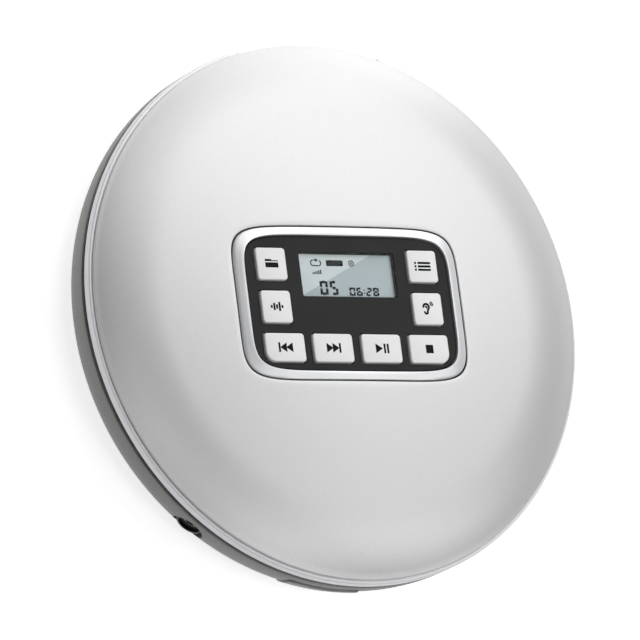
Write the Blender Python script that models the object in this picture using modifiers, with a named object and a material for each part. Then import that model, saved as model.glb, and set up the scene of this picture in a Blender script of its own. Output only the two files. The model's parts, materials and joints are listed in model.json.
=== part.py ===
"""Portable disc player with a hinged domed lid, modelled as separate pieces in their closed, resting places.

Metres, +Z up. The origin is at the centre of the feet, on the surface that the player stands on. The lid's
hinge is at +Y and the open button near -Y.
"""

from math import acos, asin, cos, hypot, pi, radians, sin, sqrt, tan

import bmesh
import bpy
from mathutils import Matrix, Vector

# General fits
CLEARANCE = 0.0003
OVERRUN = 0.002
JOIN_STEP = 0.0001
MERGE_DISTANCE = 0.00001
SMOOTH_ANGLE = radians(30)
LARGE_STEPS = 48
MEDIUM_STEPS = 24
SMALL_STEPS = 12

# Disc and cells that the player holds
DISC_RADIUS = 0.060
DISC_THICKNESS = 0.0012
CELL_RADIUS = 0.00725
CELL_LENGTH = 0.0505

# Lower shell
RIM_WIDTH = 0.0090
UNDERSIDE_Z = 0.0008
SIDE_CURVE_WIDTH = 0.0100
SHELL_SIDE_Z = 0.0130
SHELL_TOP_Z = 0.0146
SHELL_EDGE = 0.0003
SHELL_WALL = 0.0016
SHELL_CURVE_POINTS = 6

# Upper housing: a silver ring, the deck and the disc well
RING_LOW_Z = 0.01605
SHOULDER_Z = 0.0185
SHOULDER_EDGE = 0.00045
SKIRT_LOW_Z = 0.0126
SKIRT_THICKNESS = 0.0012
RING_SKIN = 0.0014
DECK_TOP_Z = 0.0156
DECK_THICKNESS = 0.0010
WELL_GAP = 0.0010
WELL_WALL = 0.0014
SPINDLE_OPENING_GAP = 0.0015
PICKUP_WINDOW_START = 0.0100
PICKUP_WINDOW_HALF_WIDTH = 0.0085

# Feet
FOOT_RADIUS = 0.0045
FOOT_X_INSET = 0.0230
FOOT_Y_INSET = 0.0220
FOOT_POCKET_DEPTH = 0.0005

# Lid
LID_GAP = 0.0003
LID_SETBACK = 0.0009
LID_TOP_Z = 0.0266
LID_WALL = 0.0014
CROWN_CURVE_RADIUS = 0.500
LID_SHOULDER_WIDTH = 0.0171
LID_RIM_HEIGHT = 0.0004
LID_EDGE = 0.0003
CROWN_POINTS = 4
LID_SHOULDER_POINTS = 6

# Hinge
HINGE_INSET = 0.0048
HINGE_Z = 0.0165
HINGE_PIN_RADIUS = 0.0008
HINGE_PIN_HALF = 0.0217
KNUCKLE_RADIUS = 0.0020
KNUCKLE_INNER_X = 0.0060
EAR_INNER_X = 0.0190
NOTCH_HALF = 0.0216
NOTCH_END_WALL = 0.0014
NOTCH_WALL = 0.0010
HINGE_WALL_EXTRA = 0.0005
CRADLE_FLOOR_Z = 0.0128
HINGE_ARM_REAR = 0.0012
HINGE_SPRING_WIRE = 0.0003
HINGE_SPRING_PITCH = 0.0011
HINGE_SPRING_TURNS = 6
HINGE_SPRING_LEG = 0.0022
COIL_POINTS = 8

# Lid latch and open button, placed along a radius
OPEN_TURN = radians(262)
OPEN_HALF_WIDTH = 0.0100
OPEN_LOW_Z = 0.0050
OPEN_HIGH_Z = 0.0120
OPEN_PROUD = 0.0006
OPEN_EDGE = 0.0008
FLANGE_INSET = 0.0050
OPEN_FLANGE_THICKNESS = 0.0008
OPEN_FLANGE_EXTRA = 0.0006
FLANGE_LOW_Z = 0.0065
OPEN_TRAVEL = 0.0010
HOOK_HALF_WIDTH = 0.0030
HOOK_INSET = 0.0035
HOOK_THICKNESS = 0.0010
HOOK_BARB = 0.0008
HOOK_BARB_HEIGHT = 0.0010
HOOK_LOW_Z = 0.0134
HOOK_ROOT_DEPTH = 0.0008
HOOK_SLOT_GAP = 0.0004
LATCH_OVERLAP = 0.0005
LATCH_LIP_HEIGHT = 0.0010
LATCH_POST_THICKNESS = 0.0008
LATCH_HALF_WIDTH = 0.0024
LATCH_PLATE_LOW_Z = 0.0100
LATCH_PLATE_THICKNESS = 0.0012
LATCH_PLATE_HALF_WIDTH = 0.0040
LATCH_RIB_THICKNESS = 0.0012

# Lid switch, closed by a peg under the lid
SWITCH_TURN = radians(300)
SWITCH_INSET = 0.0070
SWITCH_DEPTH = 0.0033
SWITCH_HALF_WIDTH = 0.0040
SWITCH_LOW_Z = 0.0129
SWITCH_HEIGHT = 0.0030
PEG_RADIUS = 0.0006
PEG_INSET = 0.0050

# Control panel in the lid
PANEL_OPENING_X = 0.0329
PANEL_OPENING_Y = 0.0202
FRAME_BORDER_X = 0.0031
FRAME_BORDER_Y = 0.0025
FRAME_RIM_Z = 0.0264
PANEL_CORNER_SHARE = 6.9
PANEL_POINTS = 40
FASCIA_TOP_Z = 0.0257
FASCIA_THICKNESS = 0.0013
FASCIA_FLANGE_THICKNESS = 0.0007
FASCIA_FLANGE_INSET = 0.0003
FLANGE_STEP = 0.0002
WINDOW_X = 0.00035
WINDOW_Y = 0.0075
WINDOW_HALF_X = 0.01355
WINDOW_HALF_Y = 0.00555
WINDOW_THICKNESS = 0.0008
WINDOW_CORNER = 0.0004
KEY_TOP_Z = 0.0265
KEY_FLANGE = 0.0005
KEY_FLANGE_THICKNESS = 0.0005
KEY_CORNER = 0.0009
SIDE_KEY_HALF_X = 0.00425
SIDE_KEY_HALF_Y = 0.00415
SIDE_KEY_X = 0.02185
SIDE_KEY_UPPER_Y = 0.0098
SIDE_KEY_LOWER_Y = -0.0012
LOW_KEY_HALF_X = 0.005675
LOW_KEY_HALF_Y = 0.003675
LOW_KEY_INNER_X = 0.00698
LOW_KEY_OUTER_X = 0.0208
LOW_KEY_Y = -0.0116
LOW_KEY_CORNER = 0.0027
KEY_PAD_THICKNESS = 0.0004
KEY_PAD_MARGIN = 0.0012
LID_BOARD_THICKNESS = 0.0006
LID_BOARD_HALF_X = 0.0340
LID_BOARD_HALF_Y = 0.0210
LID_BOARD_CORNER = 0.0020
INNER_COVER_INSET = 0.0140
INNER_COVER_THICKNESS = 0.0010
HUB_POCKET_RADIUS = 0.0090
HUB_POCKET_DEPTH = 0.0005

# Spindle
SHAFT_RADIUS = 0.0010
TURNTABLE_RADIUS = 0.0140
TURNTABLE_TOP_Z = 0.0186
TURNTABLE_THICKNESS = 0.0014
TURNTABLE_BOSS_RADIUS = 0.0040
CHUCK_RADIUS = 0.0072
CHUCK_TOP_Z = 0.0203
CHUCK_EDGE = 0.0002
CHUCK_THICKNESS = 0.0011
CLAW_COUNT = 3
CLAW_REACH = 0.0004
CLAW_HALF_WIDTH = 0.0012
CLAW_HEIGHT = 0.0004
SPINDLE_MOTOR_RADIUS = 0.0120
SPINDLE_MOTOR_HEIGHT = 0.0051
SHAFT_LOW_Z = 0.0095

# Chassis plate with its dampers
CHASSIS_TOP_Z = 0.0142
CHASSIS_THICKNESS = 0.0008
CHASSIS_LEFT_X = -0.0220
CHASSIS_BAY_GAP = 0.0013
CHASSIS_REAR_Y = 0.0385
CHASSIS_INSET = 0.0038
CHASSIS_WINDOW_START = 0.0145
CHASSIS_WINDOW_INSET = 0.0088
DAMPER_RADIUS = 0.0030
DAMPER_WAIST = 0.0022
DAMPER_LENGTH = 0.0024
DAMPER_LEFT_X = -0.0160
DAMPER_LEFT_Y = 0.0180
DAMPER_RIGHT_X = 0.0470
DAMPER_REAR_Y = 0.0275
DAMPER_FRONT_Y = -0.0210

# Pickup sled on two guide rods
LENS_START_X = 0.0245
LENS_END_INSET = 0.0140
SLED_REAR = 0.0080
SLED_FRONT = 0.0050
SLED_HALF_WIDTH = 0.0160
SLED_LOW_Z = 0.0086
SLED_HIGH_Z = 0.0139
SLED_MIDDLE_HALF_WIDTH = 0.0090
SLED_EAR_HIGH_Z = 0.0130
ROD_RADIUS = 0.0010
ROD_Y = 0.0130
ROD_Z = 0.0108
ROD_START_X = 0.0124
ROD_INSET = 0.0066
ROD_HOLDER_HALF_WIDTH = 0.0020
LENS_TOWER_RADIUS = 0.0040
LENS_TOWER_TOP_Z = 0.0165
LENS_RADIUS = 0.0026
LENS_TOP_Z = 0.0173
LENS_SEAT_DEPTH = 0.0012

# Sled drive: rack, idler, pinion and motor
RACK_MODULE = 0.0006
RACK_PITCH_Y = 0.0192
RACK_LOW_Z = 0.0090
RACK_HEIGHT = 0.0020
RACK_TEETH = 19
PINION_MODULE = 0.0005
IDLER_SMALL_TEETH = 14
IDLER_LARGE_TEETH = 36
PINION_TEETH = 10
PRESSURE_ANGLE = radians(20)
GEAR_BACKLASH = 0.00022
DEDENDUM_SHARE = 1.25
IDLER_X = 0.0290
IDLER_WHEEL_LOW_Z = 0.0066
IDLER_WHEEL_THICKNESS = 0.0012
IDLER_GEAR_TOP_Z = 0.0111
IDLER_HUB_RADIUS = 0.0028
IDLER_POST_RADIUS = 0.0009
IDLER_POST_LOW_Z = 0.0062
SLED_MOTOR_TURN = radians(135)
SLED_MOTOR_RADIUS = 0.0062
SLED_MOTOR_HEIGHT = 0.0049
PINION_SHAFT_RADIUS = 0.0005
PINION_SHAFT_TOP_Z = 0.0120

# Main board
BOARD_LOW_Z = 0.0034
BOARD_THICKNESS = 0.0010
BOARD_INSET = 0.0140
BOARD_PAD_RADIUS = 0.0020
BOARD_PAD_INSET = 0.0220
BOARD_PAD_TURNS = (radians(75), radians(180), radians(-30))

# Screw bosses between the shell and the housing
BOSS_RADIUS = 0.0030
BOSS_INSET = 0.0100
BOSS_REAR_TURN = radians(38)
BOSS_FRONT_TURN = radians(-27)
BOSS_HOLE_RADIUS = 0.0016
BOSS_HEAD_RADIUS = 0.0024
BOSS_HEAD_DEPTH = 0.0060

# Battery bay and door
CELLS_INSET = 0.0284
CELL_PITCH = 0.0149
BAY_END_ROOM = 0.0016
BAY_CORNER = 0.0020
BAY_WALL = 0.0010
BAY_TOP_Z = 0.0163
HUMP_WALL = 0.0010
HUMP_TOP_Z = 0.0176
DOOR_THICKNESS = 0.0012
DOOR_BARREL_RADIUS = 0.0010
DOOR_PIN_RADIUS = 0.0005
DOOR_PIN_LENGTH = 0.0005
DOOR_THUMB_LENGTH = 0.0120
DOOR_THUMB_WIDTH = 0.0030
DOOR_THUMB_DEPTH = 0.0005
CONTACT_THICKNESS = 0.0004
CONTACT_HALF_HEIGHT = 0.0040
CONTACT_HALF_WIDTH = 0.0045
BATTERY_SPRING_WIRE = 0.0003
BATTERY_SPRING_RADIUS = 0.0030
BATTERY_SPRING_TIP_RADIUS = 0.0020
BATTERY_SPRING_LENGTH = 0.0034
BATTERY_SPRING_TURNS = 4

# Sockets and switches in the side wall, each placed along a radius
SOCKET_Z = 0.0086
SOCKET_NOSE_GAP = 0.0007
SOCKET_BODY_LENGTH = 0.0140
SOCKET_BODY_INSET = 0.0060
SOCKET_BODY_HALF_WIDTH = 0.0040
SOCKET_BODY_HIGH_Z = 0.0119
HEADPHONE_TURN = radians(229.9)
HEADPHONE_HOLE_RADIUS = 0.0044
HEADPHONE_SETBACK = 0.0018
HEADPHONE_BORE_RADIUS = 0.0018
HEADPHONE_BORE_DEPTH = 0.0140
HEADPHONE_DISH_RADIUS = 0.0030
HEADPHONE_DISH_DEPTH = 0.0008
POWER_TURN = radians(52)
POWER_HOLE_RADIUS = 0.0036
POWER_SETBACK = 0.0020
POWER_BORE_RADIUS = 0.0022
POWER_BORE_DEPTH = 0.0090
POWER_PIN_RADIUS = 0.0006
SIDE_KEY_Z = 0.0086
VOLUME_UP_TURN = radians(34.5)
VOLUME_DOWN_TURN = radians(24.5)
VOLUME_HALF_WIDTH = 0.0045
VOLUME_HALF_HEIGHT = 0.0020
VOLUME_EDGE = 0.0005
SIDE_FLANGE_THICKNESS = 0.0010
SIDE_FLANGE_EXTRA = 0.0007
HOLD_TURN = radians(-25)
HOLD_HALF_WIDTH = 0.0025
HOLD_HALF_HEIGHT = 0.0012
HOLD_TRAVEL = 0.0030
HOLD_PROUD = 0.0002

# Levels and radii that follow from the sizes above
WELL_RADIUS = DISC_RADIUS + WELL_GAP
BODY_RADIUS = WELL_RADIUS + RIM_WIDTH
FLOOR_RADIUS = BODY_RADIUS - SIDE_CURVE_WIDTH
FOOT_X = FLOOR_RADIUS - FOOT_X_INSET
FOOT_Y = FLOOR_RADIUS - FOOT_Y_INSET
LID_RADIUS = BODY_RADIUS - LID_SETBACK
CROWN_EDGE_RADIUS = LID_RADIUS - LID_SHOULDER_WIDTH
HINGE_Y = BODY_RADIUS - HINGE_INSET
OPEN_FACE = BODY_RADIUS + OPEN_PROUD
FLANGE_FRONT = BODY_RADIUS - FLANGE_INSET
HOOK_OUTER = BODY_RADIUS - HOOK_INSET
SWITCH_INNER = BODY_RADIUS - SWITCH_INSET
PEG_PLACE = BODY_RADIUS - PEG_INSET
INNER_COVER_RADIUS = BODY_RADIUS - INNER_COVER_INSET
CHASSIS_EDGE_RADIUS = BODY_RADIUS - CHASSIS_INSET
CHASSIS_WINDOW_END = BODY_RADIUS - CHASSIS_WINDOW_INSET
ROD_END_X = BODY_RADIUS - ROD_INSET
SLED_TRAVEL = BODY_RADIUS - LENS_END_INSET - LENS_START_X
BOARD_RADIUS = BODY_RADIUS - BOARD_INSET
BOARD_PAD_PLACE = BODY_RADIUS - BOARD_PAD_INSET
BOSS_PLACE = BODY_RADIUS - BOSS_INSET
CELL_MIDDLE_Y = CELLS_INSET - BODY_RADIUS
SOCKET_BODY_OUTER = BODY_RADIUS - SOCKET_BODY_INSET
SOCKET_BODY_INNER = SOCKET_BODY_OUTER - SOCKET_BODY_LENGTH
HEADPHONE_FACE = BODY_RADIUS - HEADPHONE_SETBACK
POWER_FACE = BODY_RADIUS - POWER_SETBACK
HOLD_FACE = BODY_RADIUS + HOLD_PROUD
WELL_OUTER = WELL_RADIUS + WELL_WALL
SKIRT_OUTER = BODY_RADIUS - SHELL_WALL - CLEARANCE
SKIRT_INNER = SKIRT_OUTER - SKIRT_THICKNESS
SHOULDER_LOW_Z = SHOULDER_Z - RING_SKIN
DECK_LOW_Z = DECK_TOP_Z - DECK_THICKNESS
FLOOR_Z = UNDERSIDE_Z + SHELL_WALL
LID_LOW_Z = SHOULDER_Z + LID_GAP
HUMP_LOW_Z = HUMP_TOP_Z - HUMP_WALL
BAY_HALF_X = CELL_LENGTH / 2 + BAY_END_ROOM
BAY_REAR_Y = CELL_MIDDLE_Y + CELL_PITCH / 2 + CELL_RADIUS + CLEARANCE
BAY_FRONT_Y = CELL_MIDDLE_Y - CELL_PITCH / 2 - CELL_RADIUS - CLEARANCE
CHASSIS_FRONT_Y = BAY_REAR_Y + BAY_WALL + CHASSIS_BAY_GAP
LATCH_PLATE_FRONT_Y = BAY_FRONT_Y - BAY_WALL - OPEN_TRAVEL - CLEARANCE
LATCH_PLATE_INNER = (LATCH_PLATE_HALF_WIDTH * abs(cos(OPEN_TURN)) - LATCH_PLATE_FRONT_Y) / abs(sin(OPEN_TURN))
CELL_Z = (UNDERSIDE_Z + DOOR_THICKNESS + HUMP_LOW_Z) / 2
DOOR_AXIS_Y = BAY_REAR_Y - DOOR_BARREL_RADIUS - CLEARANCE
DOOR_AXIS_Z = UNDERSIDE_Z + DOOR_BARREL_RADIUS
BOARD_TOP_Z = BOARD_LOW_Z + BOARD_THICKNESS
CHASSIS_LOW_Z = CHASSIS_TOP_Z - CHASSIS_THICKNESS
COVER_TOP_Z = TURNTABLE_TOP_Z + DISC_THICKNESS + 2 * LID_GAP + INNER_COVER_THICKNESS
LID_BOARD_LOW_Z = COVER_TOP_Z + CLEARANCE
LID_BOARD_TOP_Z = LID_BOARD_LOW_Z + LID_BOARD_THICKNESS
KEY_PAD_LOW_Z = LID_BOARD_TOP_Z + CLEARANCE
FASCIA_LOW_Z = FASCIA_TOP_Z - FASCIA_THICKNESS
FRAME_INNER_X = PANEL_OPENING_X - CLEARANCE - FRAME_BORDER_X
FRAME_INNER_Y = PANEL_OPENING_Y - CLEARANCE - FRAME_BORDER_Y
IDLER_SMALL_RADIUS = IDLER_SMALL_TEETH * RACK_MODULE / 2
IDLER_LARGE_RADIUS = IDLER_LARGE_TEETH * PINION_MODULE / 2
PINION_PITCH_RADIUS = PINION_TEETH * PINION_MODULE / 2
IDLER_Y = RACK_PITCH_Y + IDLER_SMALL_RADIUS
SLED_MOTOR_REACH = IDLER_LARGE_RADIUS + PINION_PITCH_RADIUS
SLED_MOTOR_X = IDLER_X + SLED_MOTOR_REACH * cos(SLED_MOTOR_TURN)
SLED_MOTOR_Y = IDLER_Y + SLED_MOTOR_REACH * sin(SLED_MOTOR_TURN)

for old in list(bpy.data.objects):
    bpy.data.objects.remove(old, do_unlink=True)

PARTS = bpy.data.collections.new("Portable disc player")
HELPERS = bpy.data.collections.new("Cutters and joined shapes")
for group in (PARTS, HELPERS):
    bpy.context.scene.collection.children.link(group)


def material(name, colour, roughness, metallic=0.0):
    made = bpy.data.materials.new(name)
    made.use_nodes = True
    made.diffuse_color = (*colour, 1.0)
    shader = made.node_tree.nodes["Principled BSDF"]
    shader.inputs["Base Color"].default_value = (*colour, 1.0)
    shader.inputs["Roughness"].default_value = roughness
    shader.inputs["Metallic"].default_value = metallic
    return made


def add_object(name, mesh, look):
    """A part when it has a look of its own, and otherwise a shape that cuts or joins another."""
    made = bpy.data.objects.new(name, mesh)
    if look is None:
        made.hide_render = True
        made.display_type = "WIRE"
        HELPERS.objects.link(made)
        return made
    mesh.materials.clear()
    mesh.materials.append(material(name, *look))
    PARTS.objects.link(made)
    return made


def shade(mesh):
    mesh.shade_smooth()
    mesh.set_sharp_from_angle(angle=SMOOTH_ANGLE)


def around(turn, along, across, height):
    """The point that lies `along` a radius at this turn, `across` it to the left, and at this height."""
    return Matrix.Rotation(turn, 4, "Z") @ Vector((along, across, height))


def box(name, low, high, look=None, turn=0):
    """A block between two corners, which are measured along and across the radius at `turn`."""
    mesh = bpy.data.meshes.new(name)
    shape = bmesh.new()
    bmesh.ops.create_cube(shape, size=1)
    size = [far - near for near, far in zip(low, high)]
    bmesh.ops.scale(shape, vec=size, verts=shape.verts)
    shape.to_mesh(mesh)
    shape.free()
    made = add_object(name, mesh, look)
    middle = [(near + far) / 2 for near, far in zip(low, high)]
    made.location = around(turn, *middle)
    made.rotation_euler.z = turn
    return made


def rod(name, radius, start, end, steps=MEDIUM_STEPS, look=None, end_radius=None):
    """A cylinder from one point to another, or a cone when the far end has its own radius."""
    start, end = Vector(start), Vector(end)
    mesh = bpy.data.meshes.new(name)
    shape = bmesh.new()
    far_radius = radius if end_radius is None else end_radius
    bmesh.ops.create_cone(shape, cap_ends=True, segments=steps, radius1=radius, radius2=far_radius,
                          depth=(end - start).length)
    shape.to_mesh(mesh)
    shape.free()
    shade(mesh)
    made = add_object(name, mesh, look)
    made.location = (start + end) / 2
    made.rotation_euler = (end - start).to_track_quat("Z", "Y").to_euler()
    return made


def upright(name, radius, x, y, low, high, steps=MEDIUM_STEPS, look=None):
    return rod(name, radius, (x, y, low), (x, y, high), steps, look)


def turned(name, profile, steps=LARGE_STEPS, look=None):
    """A profile of radii and heights turned about Z. It closes on itself unless it starts on the axis."""
    mesh = bpy.data.meshes.new(name)
    shape = bmesh.new()
    points = [shape.verts.new((radius, 0, height)) for radius, height in profile]
    for near, far in zip(points, points[1:]):
        shape.edges.new((near, far))
    if profile[0][0] > 0:
        shape.edges.new((points[-1], points[0]))
    shape.to_mesh(mesh)
    shape.free()
    made = add_object(name, mesh, look)
    screw = made.modifiers.new("Turned", "SCREW")
    screw.axis = "Z"
    screw.angle = 2 * pi
    screw.steps = steps
    screw.render_steps = steps
    screw.use_merge_vertices = True
    screw.merge_threshold = MERGE_DISTANCE
    screw.use_smooth_shade = True
    return made


def plate(name, outlines, low, high, look=None):
    """A flat outline given a thickness. Outlines after the first are holes."""
    curve = bpy.data.curves.new(name, "CURVE")
    curve.dimensions = "2D"
    curve.fill_mode = "BOTH"
    curve.extrude = (high - low) / 2
    for outline in outlines:
        spline = curve.splines.new("POLY")
        spline.points.add(len(outline) - 1)
        spline.use_cyclic_u = True
        for point, (x, y) in zip(spline.points, outline):
            point.co = (x, y, 0, 1)
    return made_solid(name, curve, (0, 0, (low + high) / 2), look)


def pipe(name, points, radius, look=None, sides=1):
    curve = bpy.data.curves.new(name, "CURVE")
    curve.dimensions = "3D"
    curve.bevel_depth = radius
    curve.bevel_resolution = sides
    curve.use_fill_caps = True
    spline = curve.splines.new("POLY")
    spline.points.add(len(points) - 1)
    for point, place in zip(spline.points, points):
        point.co = (*place, 1)
    return made_solid(name, curve, (0, 0, 0), look)


def made_solid(name, curve, place, look):
    """The curve as a mesh whose caps are welded to its sides."""
    source = bpy.data.objects.new(name + " curve", curve)
    HELPERS.objects.link(source)
    source.location = place
    bpy.context.view_layer.update()
    graph = bpy.context.evaluated_depsgraph_get()
    mesh = bpy.data.meshes.new_from_object(source.evaluated_get(graph))
    shape = bmesh.new()
    shape.from_mesh(mesh)
    bmesh.ops.remove_doubles(shape, verts=shape.verts, dist=MERGE_DISTANCE)
    bmesh.ops.recalc_face_normals(shape, faces=shape.faces)
    shape.to_mesh(mesh)
    shape.free()
    mesh.name = name
    shade(mesh)
    made = add_object(name, mesh, look)
    made.matrix_world = source.matrix_world
    bpy.data.objects.remove(source, do_unlink=True)
    return made


def combine(piece, others, operation):
    for other in others:
        step = piece.modifiers.new(other.name, "BOOLEAN")
        step.operation = operation
        step.solver = "EXACT"
        step.object = other
        other.parent = piece
        other.matrix_parent_inverse = piece.matrix_basis.inverted()
    return piece


def cut(piece, *others):
    return combine(piece, others, "DIFFERENCE")


def join(piece, *others):
    return combine(piece, others, "UNION")


def keep_inside(piece, *others):
    return combine(piece, others, "INTERSECT")


def round_edges(piece, width, segments=2):
    bevel = piece.modifiers.new("Rounded edges", "BEVEL")
    bevel.width = width
    bevel.segments = segments
    bevel.limit_method = "ANGLE"
    return piece


def pivot(name, place):
    made = bpy.data.objects.new(name, None)
    made.empty_display_size = BODY_RADIUS / 5
    made.location = place
    PARTS.objects.link(made)
    return made


def carry(holder, pieces):
    """Hangs pieces on the empty that stands on their joint's axis."""
    for piece in pieces:
        piece.parent = holder
        piece.location -= holder.location


def arc(centre, radius, start, end, count):
    """Points of a profile arc, with angles measured from straight up."""
    turns = [start + (end - start) * step / (count - 1) for step in range(count)]
    return [(centre[0] + radius * sin(turn), centre[1] + radius * cos(turn)) for turn in turns]


def superellipse(half_x, half_y, middle_y=0, count=PANEL_POINTS):
    """A rectangle's outline with soft, squared corners."""
    points = []
    for step in range(count):
        turn = 2 * pi * (step + 0.5) / count
        reach = (abs(cos(turn)) ** PANEL_CORNER_SHARE + abs(sin(turn)) ** PANEL_CORNER_SHARE)
        reach **= -1 / PANEL_CORNER_SHARE
        points.append((half_x * reach * cos(turn), middle_y + half_y * reach * sin(turn)))
    return points


def rounded_rectangle(low, high, radius, corner_radii=None, count=3):
    """The outline from the lower right corner round to the lower left; each corner may have its own radius."""
    radii = corner_radii or (radius, radius, radius, radius)
    corners = ((high[0], low[1]), (high[0], high[1]), (low[0], high[1]), (low[0], low[1]))
    signs = ((-1, 1), (-1, -1), (1, -1), (1, 1))
    points = []
    for place, ((x, y), (side_x, side_y), corner) in enumerate(zip(corners, signs, radii)):
        for step in range(count + 1):
            turn = pi / 2 * (place - 1 + step / count)
            points.append((x + side_x * corner + corner * cos(turn), y + side_y * corner + corner * sin(turn)))
    return points


# Colours, roughness and metallic values of the finishes
SILVER_PAINT = ((0.62, 0.62, 0.63), 0.35, 0.6)
GREY_PLASTIC = ((0.13, 0.13, 0.135), 0.5)
BLACK_PLASTIC = ((0.02, 0.02, 0.021), 0.4)
WHITE_PLASTIC = ((0.83, 0.83, 0.84), 0.4)
BRIGHT_METAL = ((0.8, 0.8, 0.81), 0.15, 1.0)
STEEL = ((0.5, 0.5, 0.51), 0.3, 1.0)
BRASS = ((0.7, 0.5, 0.2), 0.3, 1.0)
RUBBER = ((0.03, 0.03, 0.03), 0.85)
BOARD_GREEN = ((0.02, 0.13, 0.05), 0.5)
CLEAR_PLASTIC = ((0.55, 0.6, 0.62), 0.08)
LENS_GLASS = ((0.2, 0.25, 0.4), 0.05)


def shell_curve(inset):
    """The quarter ellipse of the lower shell's side, from its upright part down to the flat floor."""
    wide = BODY_RADIUS - FLOOR_RADIUS - inset
    tall = SHELL_SIDE_Z - UNDERSIDE_Z - inset
    turns = [pi / 2 * step / (SHELL_CURVE_POINTS - 1) for step in range(SHELL_CURVE_POINTS)]
    return [(FLOOR_RADIUS + wide * cos(turn), SHELL_SIDE_Z - tall * sin(turn)) for turn in turns]


def bay_outline(margin):
    """The battery bay's plan, larger by this margin all round."""
    low = (-BAY_HALF_X - margin, BAY_FRONT_Y - margin)
    high = (BAY_HALF_X + margin, BAY_REAR_Y + margin)
    return rounded_rectangle(low, high, BAY_CORNER / 2 + margin)


def boss_places():
    turns = (BOSS_REAR_TURN, pi - BOSS_REAR_TURN, pi - BOSS_FRONT_TURN, BOSS_FRONT_TURN)
    return [around(turn, BOSS_PLACE, 0, 0) for turn in turns]


def damper_places():
    left = [(DAMPER_LEFT_X, side * DAMPER_LEFT_Y) for side in (-1, 1)]
    return left + [(DAMPER_RIGHT_X, DAMPER_FRONT_Y), (DAMPER_RIGHT_X, DAMPER_REAR_Y)]


def foot_places():
    return [(x, y) for x in (-FOOT_X, FOOT_X) for y in (-FOOT_Y, FOOT_Y)]


def damper_low_z():
    return CHASSIS_LOW_Z - CLEARANCE - DAMPER_LENGTH


def lower_shell():
    profile = [(0, FLOOR_Z)] + shell_curve(SHELL_WALL)[::-1]
    profile += [(BODY_RADIUS - SHELL_WALL, SHELL_TOP_Z), (BODY_RADIUS - SHELL_EDGE, SHELL_TOP_Z)]
    profile += [(BODY_RADIUS, SHELL_TOP_Z - SHELL_EDGE)] + shell_curve(0) + [(0, UNDERSIDE_Z)]
    shell = turned("lower_shell", profile, look=GREY_PLASTIC)
    seat = UNDERSIDE_Z + SHELL_WALL / 2
    bay_wall = plate("Bay wall", [bay_outline(BAY_WALL)], seat, BAY_TOP_Z)
    join(shell, bay_wall)
    for place in boss_places():
        join(shell, upright("Screw boss", BOSS_RADIUS, place.x, place.y, seat, DECK_LOW_Z - CLEARANCE,
                            SMALL_STEPS))
    for x, y in damper_places():
        join(shell, upright("Damper post", DAMPER_RADIUS, x, y, seat, damper_low_z() - CLEARANCE, SMALL_STEPS))
    for turn in BOARD_PAD_TURNS:
        place = around(turn, BOARD_PAD_PLACE, 0, 0)
        join(shell, upright("Board pad", BOARD_PAD_RADIUS, place.x, place.y, seat, BOARD_LOW_Z - CLEARANCE,
                            SMALL_STEPS))
    for side in (-1, 1):
        near = side * (LATCH_PLATE_HALF_WIDTH - LATCH_RIB_THICKNESS)
        across = sorted((near, side * LATCH_PLATE_HALF_WIDTH))
        join(shell, box("Latch rib", (LATCH_PLATE_INNER, across[0], seat),
                        (FLANGE_FRONT - OPEN_FLANGE_THICKNESS - OPEN_TRAVEL - CLEARANCE, across[1],
                         LATCH_PLATE_LOW_Z - CLEARANCE), turn=OPEN_TURN))
    cut(shell, plate("Bay hollow", [bay_outline(0)], UNDERSIDE_Z - OVERRUN, BAY_TOP_Z + OVERRUN))
    pin_end = BAY_HALF_X + BAY_WALL / 2
    cut(shell, rod("Door pin holes", DOOR_PIN_RADIUS + CLEARANCE, (-pin_end, DOOR_AXIS_Y, DOOR_AXIS_Z),
                   (pin_end, DOOR_AXIS_Y, DOOR_AXIS_Z), SMALL_STEPS))
    for x, y in foot_places():
        cut(shell, upright("Foot pocket", FOOT_RADIUS + CLEARANCE, x, y, UNDERSIDE_Z - OVERRUN,
                           UNDERSIDE_Z + FOOT_POCKET_DEPTH, SMALL_STEPS))
    for place in boss_places():
        cut(shell, upright("Screw hole", BOSS_HOLE_RADIUS, place.x, place.y, UNDERSIDE_Z - OVERRUN,
                           SHELL_TOP_Z + OVERRUN, SMALL_STEPS))
        cut(shell, upright("Screw head hole", BOSS_HEAD_RADIUS, place.x, place.y, UNDERSIDE_Z - OVERRUN,
                           UNDERSIDE_Z + BOSS_HEAD_DEPTH, SMALL_STEPS))
    cut_shell_sides(shell)
    return shell


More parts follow.
